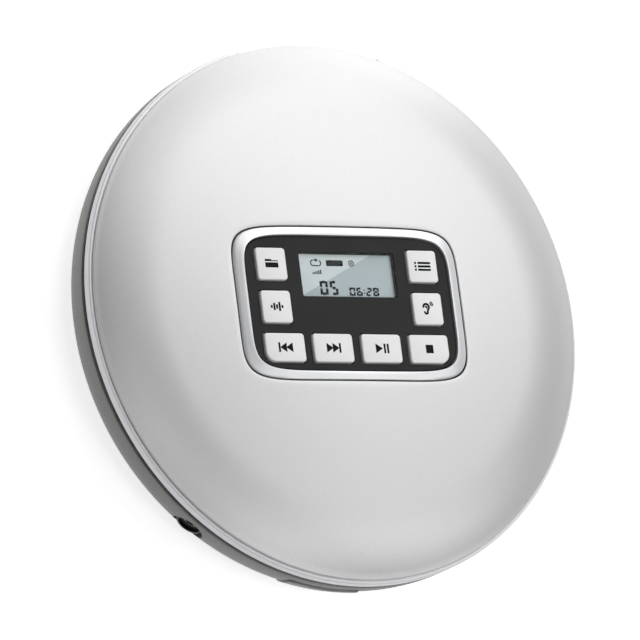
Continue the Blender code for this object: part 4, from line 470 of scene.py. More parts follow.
def lid_faces():
    """The lid's shell: from the panel's opening out over the dome, round the rim and back inside."""
    opening = superellipse(OPENING_X, OPENING_Y)
    rim = inner_rim_radius()

    def ring(share, far, inset, margin=0.0):
        """A loop between the opening's outline and a circle, lying on the dome."""
        loop = []
        for x, y in opening:
            near = hypot(x, y) + margin
            radius = near + (far - near) * share
            loop.append((x / hypot(x, y) * radius, y / hypot(x, y) * radius, dome_height(radius, inset)))
        return loop

    def flat_ring(radius, height):
        return [(x / hypot(x, y) * radius, y / hypot(x, y) * radius, height) for x, y in opening]

    shares = [step / DOME_RINGS for step in range(DOME_RINGS + 1)]
    loops = []
    for step in range(4):
        turn = pi / 2 * step / 4
        lip = []
        for x, y in opening:
            radius = hypot(x, y) + OPENING_EDGE * (1 - cos(turn))
            height = dome_height(radius) - OPENING_EDGE * (1 - sin(turn))
            lip.append((x / hypot(x, y) * radius, y / hypot(x, y) * radius, height))
        loops.append(lip)
    loops += [ring(share, LID_RADIUS - LID_EDGE, 0, OPENING_EDGE) for share in shares]
    for step in (1, 2, 3):
        turn = pi / 2 * step / 3
        loops.append(flat_ring(LID_RADIUS - LID_EDGE * (1 - sin(turn)),
                               LID_LOW_Z + LID_RIM_HEIGHT - LID_EDGE * (1 - cos(turn))))
    loops.append(flat_ring(LID_RADIUS, LID_LOW_Z))
    loops.append(flat_ring(rim, LID_LOW_Z))
    loops += [ring(share, rim, LID_WALL) for share in shares[-2::-1]]
    return loft(loops, closed=True)


def hinge_arm(side):
    """A knuckle with the arm that ties it to the underside of the lid."""
    near, far = sorted((side * KNUCKLE_INNER_X, side * (EAR_INNER_X - CLEARANCE)))
    skin = LID_WALL / 2
    rear = HINGE_Y + ARM_REAR
    arm = block((near, HINGE_Y - KNUCKLE_RADIUS, HINGE_Z), (far, rear, dome_height(rear, skin)))
    under_dome = [(radius, dome_height(radius, skin)) for radius in (0.045, 0.055, 0.060, 0.064, 0.066)]
    limit = spun([(0, LID_TOP_Z - skin)] + under_dome
                 + [(inner_rim_radius(), LID_LOW_Z), (BODY_RADIUS, LID_LOW_Z - CLEARANCE), (BODY_RADIUS, 0),
                    (0, 0)])
    return carved(arm, ("UNION", hinge_rod(near, far, KNUCKLE_RADIUS)), ("INTERSECT", limit),
                  ("DIFFERENCE", hinge_rod(near - CLEARANCE, far + CLEARANCE, PIN_RADIUS + CLEARANCE)))


def latch_hook():
    """The hook under the front of the lid, with its barb towards the lid's centre."""
    inner = HOOK_OUTER - HOOK_THICKNESS
    root = dome_height(HOOK_OUTER, LID_WALL) + LID_WALL / 2
    stem = block((inner, -HOOK_HALF_WIDTH, HOOK_LOW_Z), (HOOK_OUTER, HOOK_HALF_WIDTH, root), OPEN_TURN,
                 HOOK_THICKNESS / 5)
    barb = block((inner - HOOK_BARB, -HOOK_HALF_WIDTH + WELD, HOOK_LOW_Z + WELD),
                 (HOOK_OUTER - HOOK_THICKNESS / 2, HOOK_HALF_WIDTH - WELD, HOOK_LOW_Z + HOOK_BARB), OPEN_TURN,
                 HOOK_THICKNESS / 5)
    return added(stem, barb)


def switch_peg():
    place = around(SWITCH_TURN, PEG_PLACE, 0, 0)
    return upright(place.x, place.y, HOOK_LOW_Z + HOOK_BARB + 2 * CLEARANCE + HOOK_THICKNESS,
                   dome_height(PEG_PLACE, LID_WALL) + LID_WALL / 2, PEG_RADIUS, SMALL_STEPS, PEG_RADIUS / 4)


class DISCPLAYER_OT_lid(bpy.types.Operator):
    """The domed lid with its hinge arms, latch hook and switch peg"""

    bl_idname = "disc_player.lid"
    bl_label = "Domed lid"

    def execute(self, context):
        lid = added(lid_faces(), hinge_arm(-1), hinge_arm(1), latch_hook(), switch_peg())
        piece = add_piece("lid_dome", lid, "silver", "lid", ["lid_shell"])
        # The wall of the panel's opening takes the black finish: painted shade, which darkens the seam round
        # the panel frame.
        piece.data.materials.append(look("black"))
        for face in piece.data.polygons:
            across, along = abs(face.center.x) / OPENING_X, abs(face.center.y) / OPENING_Y
            if across ** CORNER_SHARE + along ** CORNER_SHARE < 1.001 and face.center.z > DECK_TOP_Z:
                face.material_index = 1
        refine("inner", "grey_plastic", "inner_cover", edge=CLEARANCE)
        return {"FINISHED"}


# Control panel, from the frame where a node shows it
PANEL_SEAM = 0.0003
FRAME_OUTER_X = OPENING_X - PANEL_SEAM
FRAME_OUTER_Y = OPENING_Y - PANEL_SEAM
FRAME_INNER_X = FRAME_OUTER_X - 0.0027
FRAME_INNER_Y = FRAME_OUTER_Y - 0.0022
FRAME_RIM_Z = 0.0264
FRAME_LOW_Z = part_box("panel_frame")[0].z
FRAME_EDGE = 0.00028
FASCIA_LOW_Z = 0.0244
FASCIA_TOP_Z = 0.0257
FASCIA_FLANGE_LOW_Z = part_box("fascia")[0].z
FASCIA_EDGE = 0.00015
KEY_LOW_Z, KEY_TOP_Z = (corner.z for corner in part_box("key_play"))
KEY_FLANGE = 0.0005
KEY_FLANGE_HEIGHT = 0.0005
KEY_CORNER = 0.0009
LOW_KEY_CORNER = 0.0027
INK_HEIGHT = 0.00003
WINDOW_LOW, WINDOW_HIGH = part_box("display_window")
WINDOW_CORNER = 0.0004
MODULE_TOP_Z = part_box("display_module")[1].z


class DISCPLAYER_OT_panel_frame(bpy.types.Operator):
    """The bright frame round the control panel, flush with the dome outside and raised inside"""

    bl_idname = "disc_player.panel_frame"
    bl_label = "Panel frame"

    def execute(self, context):
        outer = superellipse(FRAME_OUTER_X, FRAME_OUTER_Y)
        inner = superellipse(FRAME_INNER_X, FRAME_INNER_Y)

        def loop(share, drop=0.0, height=None):
            """A loop between the frame's outlines, between the dome and the rim or at a height of its own."""
            points = []
            for (x0, y0), (x1, y1) in zip(outer, inner):
                x, y = x0 + (x1 - x0) * share, y0 + (y1 - y0) * share
                dome = dome_height(hypot(x0, y0))
                points.append((x, y, height or dome + (FRAME_RIM_Z - dome) * share - drop))
            return points

        loops = [loop(0, height=FRAME_LOW_Z), loop(0, FRAME_EDGE), loop(0.02, FRAME_EDGE / 3), loop(0.07)]
        loops += [loop(0.35), loop(0.62), loop(0.88), loop(0.95, FRAME_EDGE / 4), loop(0.985, FRAME_EDGE)]
        loops += [loop(1, 2 * FRAME_EDGE), loop(1, height=FRAME_LOW_Z)]
        stand_in("panel_frame", loft(loops, closed=True), "chrome")
        return {"FINISHED"}


def key_outline(node, margin=0.0):
    """A key's plan, from its node's box less the flange, with a larger corner at the panel's own corners."""
    low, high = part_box(node)
    low = (low.x + KEY_FLANGE - margin, low.y + KEY_FLANGE - margin)
    high = (high.x - KEY_FLANGE + margin, high.y - KEY_FLANGE + margin)
    radii = [KEY_CORNER + margin] * 4
    if node == "key_stop":
        radii[0] = LOW_KEY_CORNER + margin
    if node == "key_previous":
        radii[3] = LOW_KEY_CORNER + margin
    return rounded_rectangle(low, high, radii)


def window_outline(margin=0.0):
    low = (WINDOW_LOW.x - margin, WINDOW_LOW.y - margin)
    high = (WINDOW_HIGH.x + margin, WINDOW_HIGH.y + margin)
    return rounded_rectangle(low, high, [WINDOW_CORNER + margin] * 4)


KEYS = ("key_left_upper", "key_left_lower", "key_right_upper", "key_right_lower", "key_previous", "key_next",
        "key_play", "key_stop")


class DISCPLAYER_OT_fascia(bpy.types.Operator):
    """The black panel with its openings, and the rubber mat and board below it"""

    bl_idname = "disc_player.fascia"
    bl_label = "Black fascia"

    def execute(self, context):
        face = prism(superellipse(FRAME_INNER_X - CLEARANCE, FRAME_INNER_Y - CLEARANCE), FASCIA_LOW_Z,
                     FASCIA_TOP_Z)
        under = superellipse(OPENING_X - 2 * CLEARANCE, OPENING_Y - 2 * CLEARANCE)
        flange = prism(under, FASCIA_FLANGE_LOW_Z, FASCIA_LOW_Z + WELD)
        below, above = FASCIA_FLANGE_LOW_Z - OVERRUN, FASCIA_TOP_Z + OVERRUN
        steps = [("UNION", flange)]
        for node in KEYS:
            seat = key_outline(node, KEY_FLANGE + CLEARANCE)
            steps.append(("DIFFERENCE", prism(key_outline(node, CLEARANCE), FASCIA_LOW_Z - OVERRUN, above)))
            steps.append(("DIFFERENCE", prism(seat, below, FASCIA_LOW_Z)))
        steps.append(("DIFFERENCE", prism(window_outline(CLEARANCE / 3), below, above)))
        stand_in("fascia", carved(face, *steps), "fascia", FASCIA_EDGE)
        refine("rubber", "rubber", "key_pad")
        refine("board", "board", "lid_board")
        return {"FINISHED"}


class DISCPLAYER_OT_keys(bpy.types.Operator):
    """The eight white keys with rounded upper edges, each on its own body"""

    bl_idname = "disc_player.keys"
    bl_label = "Keys"

    def execute(self, context):
        edge = context.scene.disc_player_sizes.key_edge
        for node in KEYS:
            cap = prism(key_outline(node), KEY_LOW_Z + WELD, KEY_TOP_Z - INK_HEIGHT, edge, 5)
            flange = prism(key_outline(node, KEY_FLANGE), KEY_LOW_Z, KEY_LOW_Z + KEY_FLANGE_HEIGHT)
            stand_in(node, added(cap, flange), "key")
        return {"FINISHED"}


def bar(x0, y0, x1, y1):
    """A rectangle's outline between two corners."""
    return [(x0, y0), (x1, y0), (x1, y1), (x0, y1)]


def pointer(base, tip, half):
    """A triangle's outline with an upright base and its tip to one side."""
    points = [(base, -half), (base, half), (tip, 0)]
    return points if tip < base else points[::-1]


def arc_band(middle, radius, width, start, end, steps=24):
    """A curved band's outline between two angles in degrees."""
    turns = [radians(start + (end - start) * step / steps) for step in range(steps + 1)]

    def arc(reach):
        return [(middle[0] + reach * cos(turn), middle[1] + reach * sin(turn)) for turn in turns]

    return arc(radius + width / 2) + arc(radius - width / 2)[::-1]


def zigzag(points, width):
    """Bars that follow a line of points, each as wide as the ink."""
    bars = []
    for (x0, y0), (x1, y1) in zip(points, points[1:]):
        along = Vector((x1 - x0, y1 - y0)).normalized() * width / 2
        across = Vector((-along.y, along.x))
        start, end = Vector((x0, y0)) - along, Vector((x1, y1)) + along
        bars.append([tuple(start - across), tuple(end - across), tuple(end + across), tuple(start + across)])
    return bars


def key_symbols(unit, line):
    """Each key's symbol as outlines about the key's middle. The unit is half a symbol's height."""
    wide = 1.67 * unit
    ear = unit * 1.3
    return {
        "key_previous": [bar(-wide, -unit, line - wide, unit), pointer(0.25 * unit, -1.3 * unit, unit),
                         pointer(wide, 0.1 * unit, unit)],
        "key_next": [pointer(-wide, -0.1 * unit, unit), pointer(-0.25 * unit, 1.3 * unit, unit),
                     bar(wide - line, -unit, wide, unit)],
        "key_play": [pointer(-1.5 * unit, 0.15 * unit, unit), bar(0.4 * unit, -unit, 0.4 * unit + line, unit),
                     bar(1.15 * unit, -unit, 1.15 * unit + line, unit)],
        "key_stop": [bar(-0.88 * unit, -0.88 * unit, 0.88 * unit, 0.88 * unit)],
        "key_left_upper": [bar(-1.5 * unit, -0.8 * unit, 1.5 * unit, 0.25 * unit),
                           [(-1.5 * unit, 0.5 * unit), (1.5 * unit, 0.5 * unit), (1.5 * unit, 0.7 * unit),
                            (0.1 * unit, 0.7 * unit), (-0.15 * unit, 0.95 * unit),
                            (-1.5 * unit, 0.95 * unit)]],
        "key_left_lower": [bar(place * unit - line / 2, -rise * unit, place * unit + line / 2, rise * unit)
                           for place, rise in ((-1.24, 0.3), (-0.62, 0.75), (0, 0.45), (0.62, 0.95),
                                               (1.24, 0.3))],
        "key_right_upper": [shape for level in (-0.72, 0.0, 0.72) for shape in (
            bar(-1.9 * unit, level * unit - line / 2, -1.9 * unit + line, level * unit + line / 2),
            bar(-1.1 * unit, level * unit - line / 2, 1.9 * unit, level * unit + line / 2))],
        "key_right_lower": [arc_band((-0.3 * ear, 0.3 * ear), 0.5 * ear, line, -30, 195),
                            *zigzag([(0.12 * ear, 0.03 * ear), (-0.12 * ear, -0.35 * ear)], line * 0.95),
                            arc_band((-0.36 * ear, -0.5 * ear), 0.28 * ear, line, -200, 35),
                            arc_band((-0.3 * ear, 0.25 * ear), 0.14 * ear, line * 0.7, -100, 190),
                            arc_band((0.1 * ear, 0.45 * ear), 0.55 * ear, line * 0.6, 0, 62),
                            arc_band((0.1 * ear, 0.45 * ear), 0.85 * ear, line * 0.6, 4, 58)],
    }


def printed(outlines, level, thickness=INK_HEIGHT, shift=(0.0, 0.0)):
    """Flat outlines as one thin layer of ink that starts just inside what it lies on."""
    layer = None
    for outline in outlines:
        moved = [(x + shift[0], y + shift[1]) for x, y in outline]
        one = prism(moved, level - thickness / 3, level + thickness)
        layer = one if layer is None else added(layer, one)
    return layer


class DISCPLAYER_OT_symbols(bpy.types.Operator):
    """The printed symbols on the keys: transport marks, and plain marks for the other four"""

    bl_idname = "disc_player.symbols"
    bl_label = "Printed symbols"

    def execute(self, context):
        sizes = context.scene.disc_player_sizes
        for node, outlines in key_symbols(sizes.symbol_height / 2, sizes.symbol_line).items():
            low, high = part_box(node)
            middle = ((low.x + high.x) / 2, (low.y + high.y) / 2)
            add_piece("symbol_" + node, printed(outlines, KEY_TOP_Z - INK_HEIGHT, shift=middle), "ink",
                      body_of_node(node))
        return {"FINISHED"}


def digit(mark, left, low, width, height, line):
    """A seven-segment digit as bars, with small gaps where the segments meet."""
    gap = line / 5
    right, middle, high = left + width, low + height / 2, low + height
    segments = {
        "a": bar(left + line, high - line, right - line, high),
        "b": bar(right - line, middle + gap, right, high - gap),
        "c": bar(right - line, low + gap, right, middle - gap),
        "d": bar(left + line, low, right - line, low + line),
        "e": bar(left, low + gap, left + line, middle - gap),
        "f": bar(left, middle + gap, left + line, high - gap),
        "g": bar(left + line, middle - line / 2, right - line, middle + line / 2),
    }
    lit = {"0": "abcdef", "2": "abged", "5": "afgcd", "6": "afgedc", "8": "abcdefg"}
    return [segments[name] for name in lit[mark]]


def display_marks():
    """What the display shows: a repeat loop, a badge, a disc, a level meter, a track number and a time."""
    width, height = WINDOW_HIGH.x - WINDOW_LOW.x, WINDOW_HIGH.y - WINDOW_LOW.y

    def place(across, down):
        """A place given as shares of the window from its left and upper edges."""
        return WINDOW_LOW.x + width * across, WINDOW_HIGH.y - height * down

    x, y = place(0.19, 0.21)
    size = height * 0.065
    marks = [arc_band((x - size, y), size, size * 0.42, 100, 260),
             arc_band((x + size, y), size, size * 0.42, -80, 60),
             bar(x - size, y - size * 1.2, x + size, y - size * 0.8),
             bar(x - size, y + size * 0.8, x, y + size * 1.2),
             pointer(0, size, size * 0.75)]
    marks[-1] = [(x + dx, y + size + dy) for dx, dy in marks[-1]]
    x, y = place(0.39, 0.21)
    across, down = width * 0.09, height * 0.068
    marks.append(rounded_rectangle((x - across, y - down), (x + across, y + down), [height * 0.03] * 4))
    x, y = place(0.57, 0.21)
    marks += [arc_band((x, y), height * 0.062, height * 0.022, 0, 359, 36),
              arc_band((x, y), height * 0.018, height * 0.018, 0, 359, 18)]
    x, y = place(0.195, 0.47)
    for step in range(5):
        left = x + height * 0.05 * (step - 2.5)
        marks.append(bar(left, y, left + height * 0.032, y + height * 0.03 * (1.2 + step * 0.55)))
    x, y = place(0.205, 0.955)
    big, tall = width * 0.085, height * 0.335
    marks += digit("0", x, y, big, tall, big * 0.30) + digit("5", x + big * 1.25, y, big, tall, big * 0.30)
    x, y = place(0.515, 0.965)
    small, tall = width * 0.063, height * 0.20
    for step, mark in enumerate("0628"):
        left = x + small * 1.2 * step + (small * 0.4 if step > 1 else 0)
        marks += digit(mark, left, y, small, tall, small * 0.30)
    x += small * 2.4
    for level in (0.26, 0.62):
        marks.append(bar(x, y + tall * level, x + small * 0.2, y + tall * level + small * 0.2))
    return marks


def display_film():
    """Reflective film behind the liquid crystal: cool grey, and paler beyond a slanted line, where a
    reflection is painted on it.
    """
    made = finish("Display film with painted reflection", "B4BDC0", 0.35, 0.00030, 0.02, 0.0, 0.02)
    tree = made.node_tree
    shader = tree.nodes["Principled BSDF"]
    place = add_node(tree, "ShaderNodeTexCoord").outputs["Object"]
    width, height = WINDOW_HIGH.x - WINDOW_LOW.x, WINDOW_HIGH.y - WINDOW_LOW.y
    # The paler side of the slanted step below is a painted reflection on the display.
    corner = (WINDOW_LOW.x + 0.40 * width, WINDOW_HIGH.y - 0.485 * height, 0)
    turned = add_node(tree, "ShaderNodeMapping", {"vector_type": "TEXTURE", "Location": corner,
                                                  "Rotation": (0, 0, radians(27.0))}, {"Vector": place})
    parts = add_node(tree, "ShaderNodeSeparateXYZ", links={"Vector": turned.outputs["Vector"]})
    step = add_node(tree, "ShaderNodeMapRange", {1: -0.0001, 2: 0.0001}, {0: parts.outputs["Y"]})
    mixed = add_node(tree, "ShaderNodeMix", {"data_type": "RGBA", 6: linear("CFD8DC"), 7: linear("F6FAFC")},
                     {0: step.outputs[0]})
    tree.links.new(mixed.outputs[2], shader.inputs["Base Color"])
    return made


def window_acrylic():
    """Clear acrylic with a hard coat: seen through, with a weak reflection that grows at low angles."""
    made = bpy.data.materials.new("Clear acrylic")
    made.use_nodes = True
    tree = made.node_tree
    clear = add_node(tree, "ShaderNodeBsdfTransparent", {"Color": linear("F6F8F8")})
    gloss = add_node(tree, "ShaderNodeBsdfAnisotropic", {"Roughness": 0.06})
    share = add_node(tree, "ShaderNodeFresnel", {"IOR": 1.49})
    behind = add_node(tree, "ShaderNodeNewGeometry").outputs["Backfacing"]
    front = add_node(tree, "ShaderNodeMath", {"operation": "SUBTRACT", 0: 0.4}, {1: behind})
    kept = add_node(tree, "ShaderNodeMath", {"operation": "MULTIPLY", "use_clamp": True},
                    {0: share.outputs[0], 1: front.outputs[0]})
    mixed = add_node(tree, "ShaderNodeMixShader", links={0: kept.outputs[0], 1: clear.outputs[0],
                                                         2: gloss.outputs[0]})
    tree.links.new(mixed.outputs[0], tree.nodes["Material Output"].inputs["Surface"])
    return made


class DISCPLAYER_OT_display(bpy.types.Operator):
    """The display: its module, reflective film, liquid crystal marks and clear window"""

    bl_idname = "disc_player.display"
    bl_label = "Display"

    def execute(self, context):
        refine("black", "black_plastic", "display_module", edge=CLEARANCE)
        inner = WINDOW_CORNER / 4
        film = prism(window_outline(-inner), MODULE_TOP_Z - INK_HEIGHT, MODULE_TOP_Z + INK_HEIGHT)
        piece = add_piece("display_film", film, "key", "lid")
        piece.data.materials[0] = display_film()
        add_piece("display_marks", printed(display_marks(), MODULE_TOP_Z + INK_HEIGHT), "segments", "lid")
        window = prism(window_outline(), WINDOW_LOW.z, WINDOW_HIGH.z, CLEARANCE / 3)
        piece = stand_in("display_window", window, "key")
        piece.data.materials[0] = window_acrylic()
        return {"FINISHED"}


# Lower shell, sockets and side controls
UNDERSIDE_Z = 0.0008
SHELL_TOP_Z = 0.0146
FLOOR_Z = UNDERSIDE_Z + SHELL_WALL
SHOULDER_LOW_Z = RING_TOP_Z - RING_SKIN
CELL_MIDDLE_Y = 0.0284 - BODY_RADIUS
BAY_HALF_X = 0.02685
BAY_REAR_Y = CELL_MIDDLE_Y + 0.0150
BAY_FRONT_Y = CELL_MIDDLE_Y - 0.0150
BAY_WALL = 0.0010
BAY_CORNER = 0.0010
DOOR_AXIS_Y = BAY_REAR_Y - 0.0013
DOOR_AXIS_Z = UNDERSIDE_Z + 0.0010
DOOR_WALL = 0.0012
DOOR_CORNER = 0.0012
BAY_TOP_Z = 0.0163
HUMP_TOP_Z = 0.0176
HUMP_WALL = 0.0010
SPINDLE_HOLE = 0.0155
PICKUP_WINDOW = (0.0100, 0.0606)
PICKUP_WINDOW_HALF = 0.0085
FOOT_RADIUS = 0.0045
FOOT_PLACES = [(x, y) for x in (-0.0370, 0.0370) for y in (-0.0380, 0.0380)]
BOSS_TURNS = [radians(turn) for turn in (38, 142, 207, -27)]
BOSS_PLACE = BODY_RADIUS - 0.0100
BOSS_RADIUS = 0.0030
BOSS_HOLE = 0.0016
HEAD_HOLE = 0.0024
HEAD_DEPTH = 0.0060
DAMPER_PLACES = [(-0.0160, -0.0180), (-0.0160, 0.0180), (0.0470, -0.0210), (0.0470, 0.0275)]
DAMPER_RADIUS = 0.0030
DAMPER_LOW_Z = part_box("damper_1")[0].z
BOARD_PAD_TURNS = [radians(turn) for turn in (75, 180, -30)]
BOARD_TOP_Z = 0.0044
SOCKET_Z = 0.0086
SOCKET_BODY = (BODY_RADIUS - 0.0200, BODY_RADIUS - 0.0060)
HEADPHONE_TURN = radians(229.9)
HEADPHONE_HOLE = 0.0044
HEADPHONE_FACE = BODY_RADIUS - 0.0018
POWER_TURN = radians(52)
POWER_HOLE = 0.0036
FLANGE_FRONT = BODY_RADIUS - 0.0050
VOLUME_TURNS = {"volume_up": radians(34.5), "volume_down": radians(24.5)}
HOLD_TURN = radians(-25)
OPEN_HALF_WIDTH = 0.0100
OPEN_LOW_Z = 0.0050
OPEN_HIGH_Z = 0.0120
OPEN_FACE = BODY_RADIUS + 0.0004


def shell_curve(inset, count=18):
    """The quarter ellipse of the lower shell's side, from its upright part down to the flat floor."""
    wide = BODY_RADIUS - FLOOR_RADIUS - inset
    tall = SHELL_SIDE_Z - UNDERSIDE_Z - inset
    turns = [pi / 2 * step / (count - 1) for step in range(count)]
    return [(FLOOR_RADIUS + wide * cos(turn), SHELL_SIDE_Z - tall * sin(turn)) for turn in turns]


def bay_outline(margin):
    low = (-BAY_HALF_X - margin, BAY_FRONT_Y - margin)
    high = (BAY_HALF_X + margin, BAY_REAR_Y + margin)
    return rounded_rectangle(low, high, [BAY_CORNER + margin] * 4)


def door_rod(half, radius):
    """A rod along the battery door's hinge, as far to the left as to the right."""
    return rod((-half, DOOR_AXIS_Y, DOOR_AXIS_Z), (half, DOOR_AXIS_Y, DOOR_AXIS_Z), radius)


def shell_supports():
    """The bay's wall, the screw bosses, and the posts for the dampers and the board, as separate bodies."""
    seat = UNDERSIDE_Z + SHELL_WALL / 2
    parts = [prism(bay_outline(BAY_WALL), seat, BAY_TOP_Z)]
    for turn in BOSS_TURNS:
        place = around(turn, BOSS_PLACE, 0, 0)
        parts.append(upright(place.x, place.y, seat, DECK_LOW_Z - CLEARANCE, BOSS_RADIUS))
    for x, y in DAMPER_PLACES:
        parts.append(upright(x, y, seat, DAMPER_LOW_Z - CLEARANCE, DAMPER_RADIUS))
    for turn in BOARD_PAD_TURNS:
        place = around(turn, BODY_RADIUS - 0.0220, 0, 0)
        parts.append(upright(place.x, place.y, seat, 0.0034 - CLEARANCE, 0.0020))
    return added(*parts)


def shell_hollows():
    """The bay, the feet's pockets, the screws' holes and the openings in the side, as separate bodies."""
    outside = BODY_RADIUS + OVERRUN
    parts = [prism(bay_outline(0), UNDERSIDE_Z - OVERRUN, BAY_TOP_Z + OVERRUN)]
    parts += [upright(x, y, UNDERSIDE_Z - OVERRUN, UNDERSIDE_Z + 0.0005, FOOT_RADIUS + CLEARANCE)
              for x, y in FOOT_PLACES]
    for turn in BOSS_TURNS:
        hole = spun([(0, UNDERSIDE_Z - OVERRUN), (HEAD_HOLE, UNDERSIDE_Z - OVERRUN),
                     (HEAD_HOLE, UNDERSIDE_Z + HEAD_DEPTH), (BOSS_HOLE, UNDERSIDE_Z + HEAD_DEPTH),
                     (BOSS_HOLE, SHELL_TOP_Z + OVERRUN), (0, SHELL_TOP_Z + OVERRUN)], SMALL_STEPS)
        bmesh.ops.translate(hole, vec=around(turn, BOSS_PLACE, 0, 0), verts=hole.verts)
        parts.append(hole)
    for turn, radius in ((HEADPHONE_TURN, HEADPHONE_HOLE), (POWER_TURN, POWER_HOLE)):
        inner = around(turn, SOCKET_BODY[1], 0, SOCKET_Z)
        parts.append(rod(inner, around(turn, outside, 0, SOCKET_Z), radius))
    for turn in VOLUME_TURNS.values():
        parts.append(block((FLANGE_FRONT, -0.0048, SOCKET_Z - 0.0023), (outside, 0.0048, SOCKET_Z + 0.0023),
                           turn, 0.0006))
    parts.append(block((FLANGE_FRONT, -0.0028, SOCKET_Z - 0.0015), (outside, 0.0058, SOCKET_Z + 0.0015),
                       HOLD_TURN, 0.0005))
    across = OPEN_HALF_WIDTH + CLEARANCE
    parts.append(block((FLANGE_FRONT - 0.0011, -across, OPEN_LOW_Z - CLEARANCE),
                       (outside, across, OPEN_HIGH_Z + CLEARANCE), OPEN_TURN, 0.0009))
    half = NOTCH_HALF + NOTCH_END_WALL / 2 + CLEARANCE
    parts.append(block((-half, HINGE_Y - KNUCKLE_RADIUS, CRADLE_FLOOR_Z),
                       (half, outside, SHELL_TOP_Z + OVERRUN)))
    return added(*parts)


class DISCPLAYER_OT_lower_shell(bpy.types.Operator):
    """The bowl-shaped lower shell with its bay, bosses and openings"""

    bl_idname = "disc_player.lower_shell"
    bl_label = "Lower shell"

    def execute(self, context):
        profile = [(0, FLOOR_Z)] + shell_curve(SHELL_WALL)[::-1]
        profile += [(BODY_RADIUS - SHELL_WALL, SHELL_TOP_Z), (BODY_RADIUS - SHELL_EDGE, SHELL_TOP_Z)]
        profile += [(BODY_RADIUS - SHELL_EDGE * 0.3, SHELL_TOP_Z - SHELL_EDGE * 0.3),
                    (BODY_RADIUS, SHELL_TOP_Z - SHELL_EDGE)]
        profile += shell_curve(0) + [(0, UNDERSIDE_Z)]
        shell = carved(spun(profile), ("UNION", shell_supports()), ("DIFFERENCE", shell_hollows()),
                       ("DIFFERENCE", door_rod(0.0274, 0.0008)))
        stand_in("lower_shell", shell, "side")
        return {"FINISHED"}


class DISCPLAYER_OT_upper_housing(bpy.types.Operator):
    """The ring, the disc well with its windows, the hump over the cells and the hinge's cradle"""

    bl_idname = "disc_player.upper_housing"
    bl_label = "Ring and disc well"

    def execute(self, context):
        rounds = [(1 - sin(pi / 2 * step / 4), 1 - cos(pi / 2 * step / 4)) for step in range(5)]
        profile = [(0, DECK_TOP_Z), (WELL_RADIUS - 0.0006, DECK_TOP_Z),
                   (WELL_RADIUS - 0.0002, DECK_TOP_Z + 0.0002),
                   (WELL_RADIUS, DECK_TOP_Z + 0.0006), (WELL_RADIUS, RING_TOP_Z - 0.0002),
                   (WELL_RADIUS + 0.0002, RING_TOP_Z)]
        profile += [(BODY_RADIUS - RING_EDGE * across, RING_TOP_Z - RING_EDGE * down)
                    for across, down in rounds]
        profile += [(BODY_RADIUS, RING_LOW_Z + 0.0002), (BODY_RADIUS - 0.0002, RING_LOW_Z),
                    (SKIRT_OUTER, RING_LOW_Z), (SKIRT_OUTER, SKIRT_LOW_Z), (SKIRT_INNER, SKIRT_LOW_Z),
                    (SKIRT_INNER, SHOULDER_LOW_Z), (WELL_OUTER, SHOULDER_LOW_Z), (WELL_OUTER, DECK_LOW_Z),
                    (0, DECK_LOW_Z)]
        margin = BAY_WALL + CLEARANCE + HUMP_WALL
        hump = carved(block((-BAY_HALF_X - margin, -WELL_OUTER, DECK_TOP_Z - 0.0005),
                            (BAY_HALF_X + margin, BAY_REAR_Y + margin, HUMP_TOP_Z), 0, 0.0004),
                      ("INTERSECT", upright(0, 0, 0, LID_TOP_Z, WELL_RADIUS + 0.0007, ROUND_STEPS)))
        half = NOTCH_HALF + NOTCH_END_WALL
        cradle = carved(block((-half, WELL_OUTER - 0.0007, CRADLE_FLOOR_Z - 0.0010),
                              (half, BODY_RADIUS, RING_TOP_Z - RING_EDGE)),
                        ("INTERSECT", upright(0, 0, 0, LID_TOP_Z, SKIRT_OUTER - 0.0006, ROUND_STEPS)))
        inside = BAY_WALL + CLEARANCE
        slot = HOOK_HALF_WIDTH + 0.0004
        place = around(SWITCH_TURN, PEG_PLACE, 0, 0)
        ear_end = NOTCH_HALF + NOTCH_END_WALL / 2
        ears = [carved(hinge_rod(side * EAR_INNER_X, side * ear_end, KNUCKLE_RADIUS),
                       ("INTERSECT", upright(0, 0, 0, LID_TOP_Z, BODY_RADIUS - RING_EDGE / 2, ROUND_STEPS)))
                for side in (-1, 1)]
        hollows = added(
            block((-BAY_HALF_X - inside, BAY_FRONT_Y - inside, SKIRT_LOW_Z),
                  (BAY_HALF_X + inside, BAY_REAR_Y + inside, HUMP_TOP_Z - HUMP_WALL)),
            block((-NOTCH_HALF, WELL_OUTER + 0.0005, CRADLE_FLOOR_Z), (NOTCH_HALF, BODY_RADIUS + OVERRUN,
                                                                      RING_TOP_Z + OVERRUN)),
            block((HOOK_OUTER - HOOK_THICKNESS - HOOK_BARB - 0.0004, -slot, SHOULDER_LOW_Z - OVERRUN),
                  (HOOK_OUTER + CLEARANCE, slot, RING_TOP_Z + OVERRUN), OPEN_TURN),
            upright(place.x, place.y, SHOULDER_LOW_Z - OVERRUN, RING_TOP_Z + OVERRUN, PEG_RADIUS + 0.0004))
        pin = 0.0217 + CLEARANCE
        housing = carved(
            spun(profile), ("UNION", hump), ("UNION", cradle), ("DIFFERENCE", hollows),
            ("DIFFERENCE", upright(0, 0, DECK_LOW_Z - OVERRUN, DECK_TOP_Z + OVERRUN, SPINDLE_HOLE,
                                   ROUND_STEPS)),
            ("DIFFERENCE", block((PICKUP_WINDOW[0], -PICKUP_WINDOW_HALF, DECK_LOW_Z - OVERRUN),
                                 (PICKUP_WINDOW[1], PICKUP_WINDOW_HALF, DECK_TOP_Z + OVERRUN))),
            ("UNION", added(*ears)),
            ("DIFFERENCE", hinge_rod(-pin, pin, PIN_RADIUS + CLEARANCE)))
        piece = stand_in("upper_housing", housing, "ring")
        # Faces below the ring's lower edge and outside the well take the dark grey inside finish: painted
        # shade, which darkens the gap between the ring and the lower shell.
        piece.data.materials.append(look("inner"))
        for face in piece.data.polygons:
            if face.center.z < RING_LOW_Z - WELD and hypot(face.center.x, face.center.y) > WELL_OUTER:
                face.material_index = 1
        return {"FINISHED"}


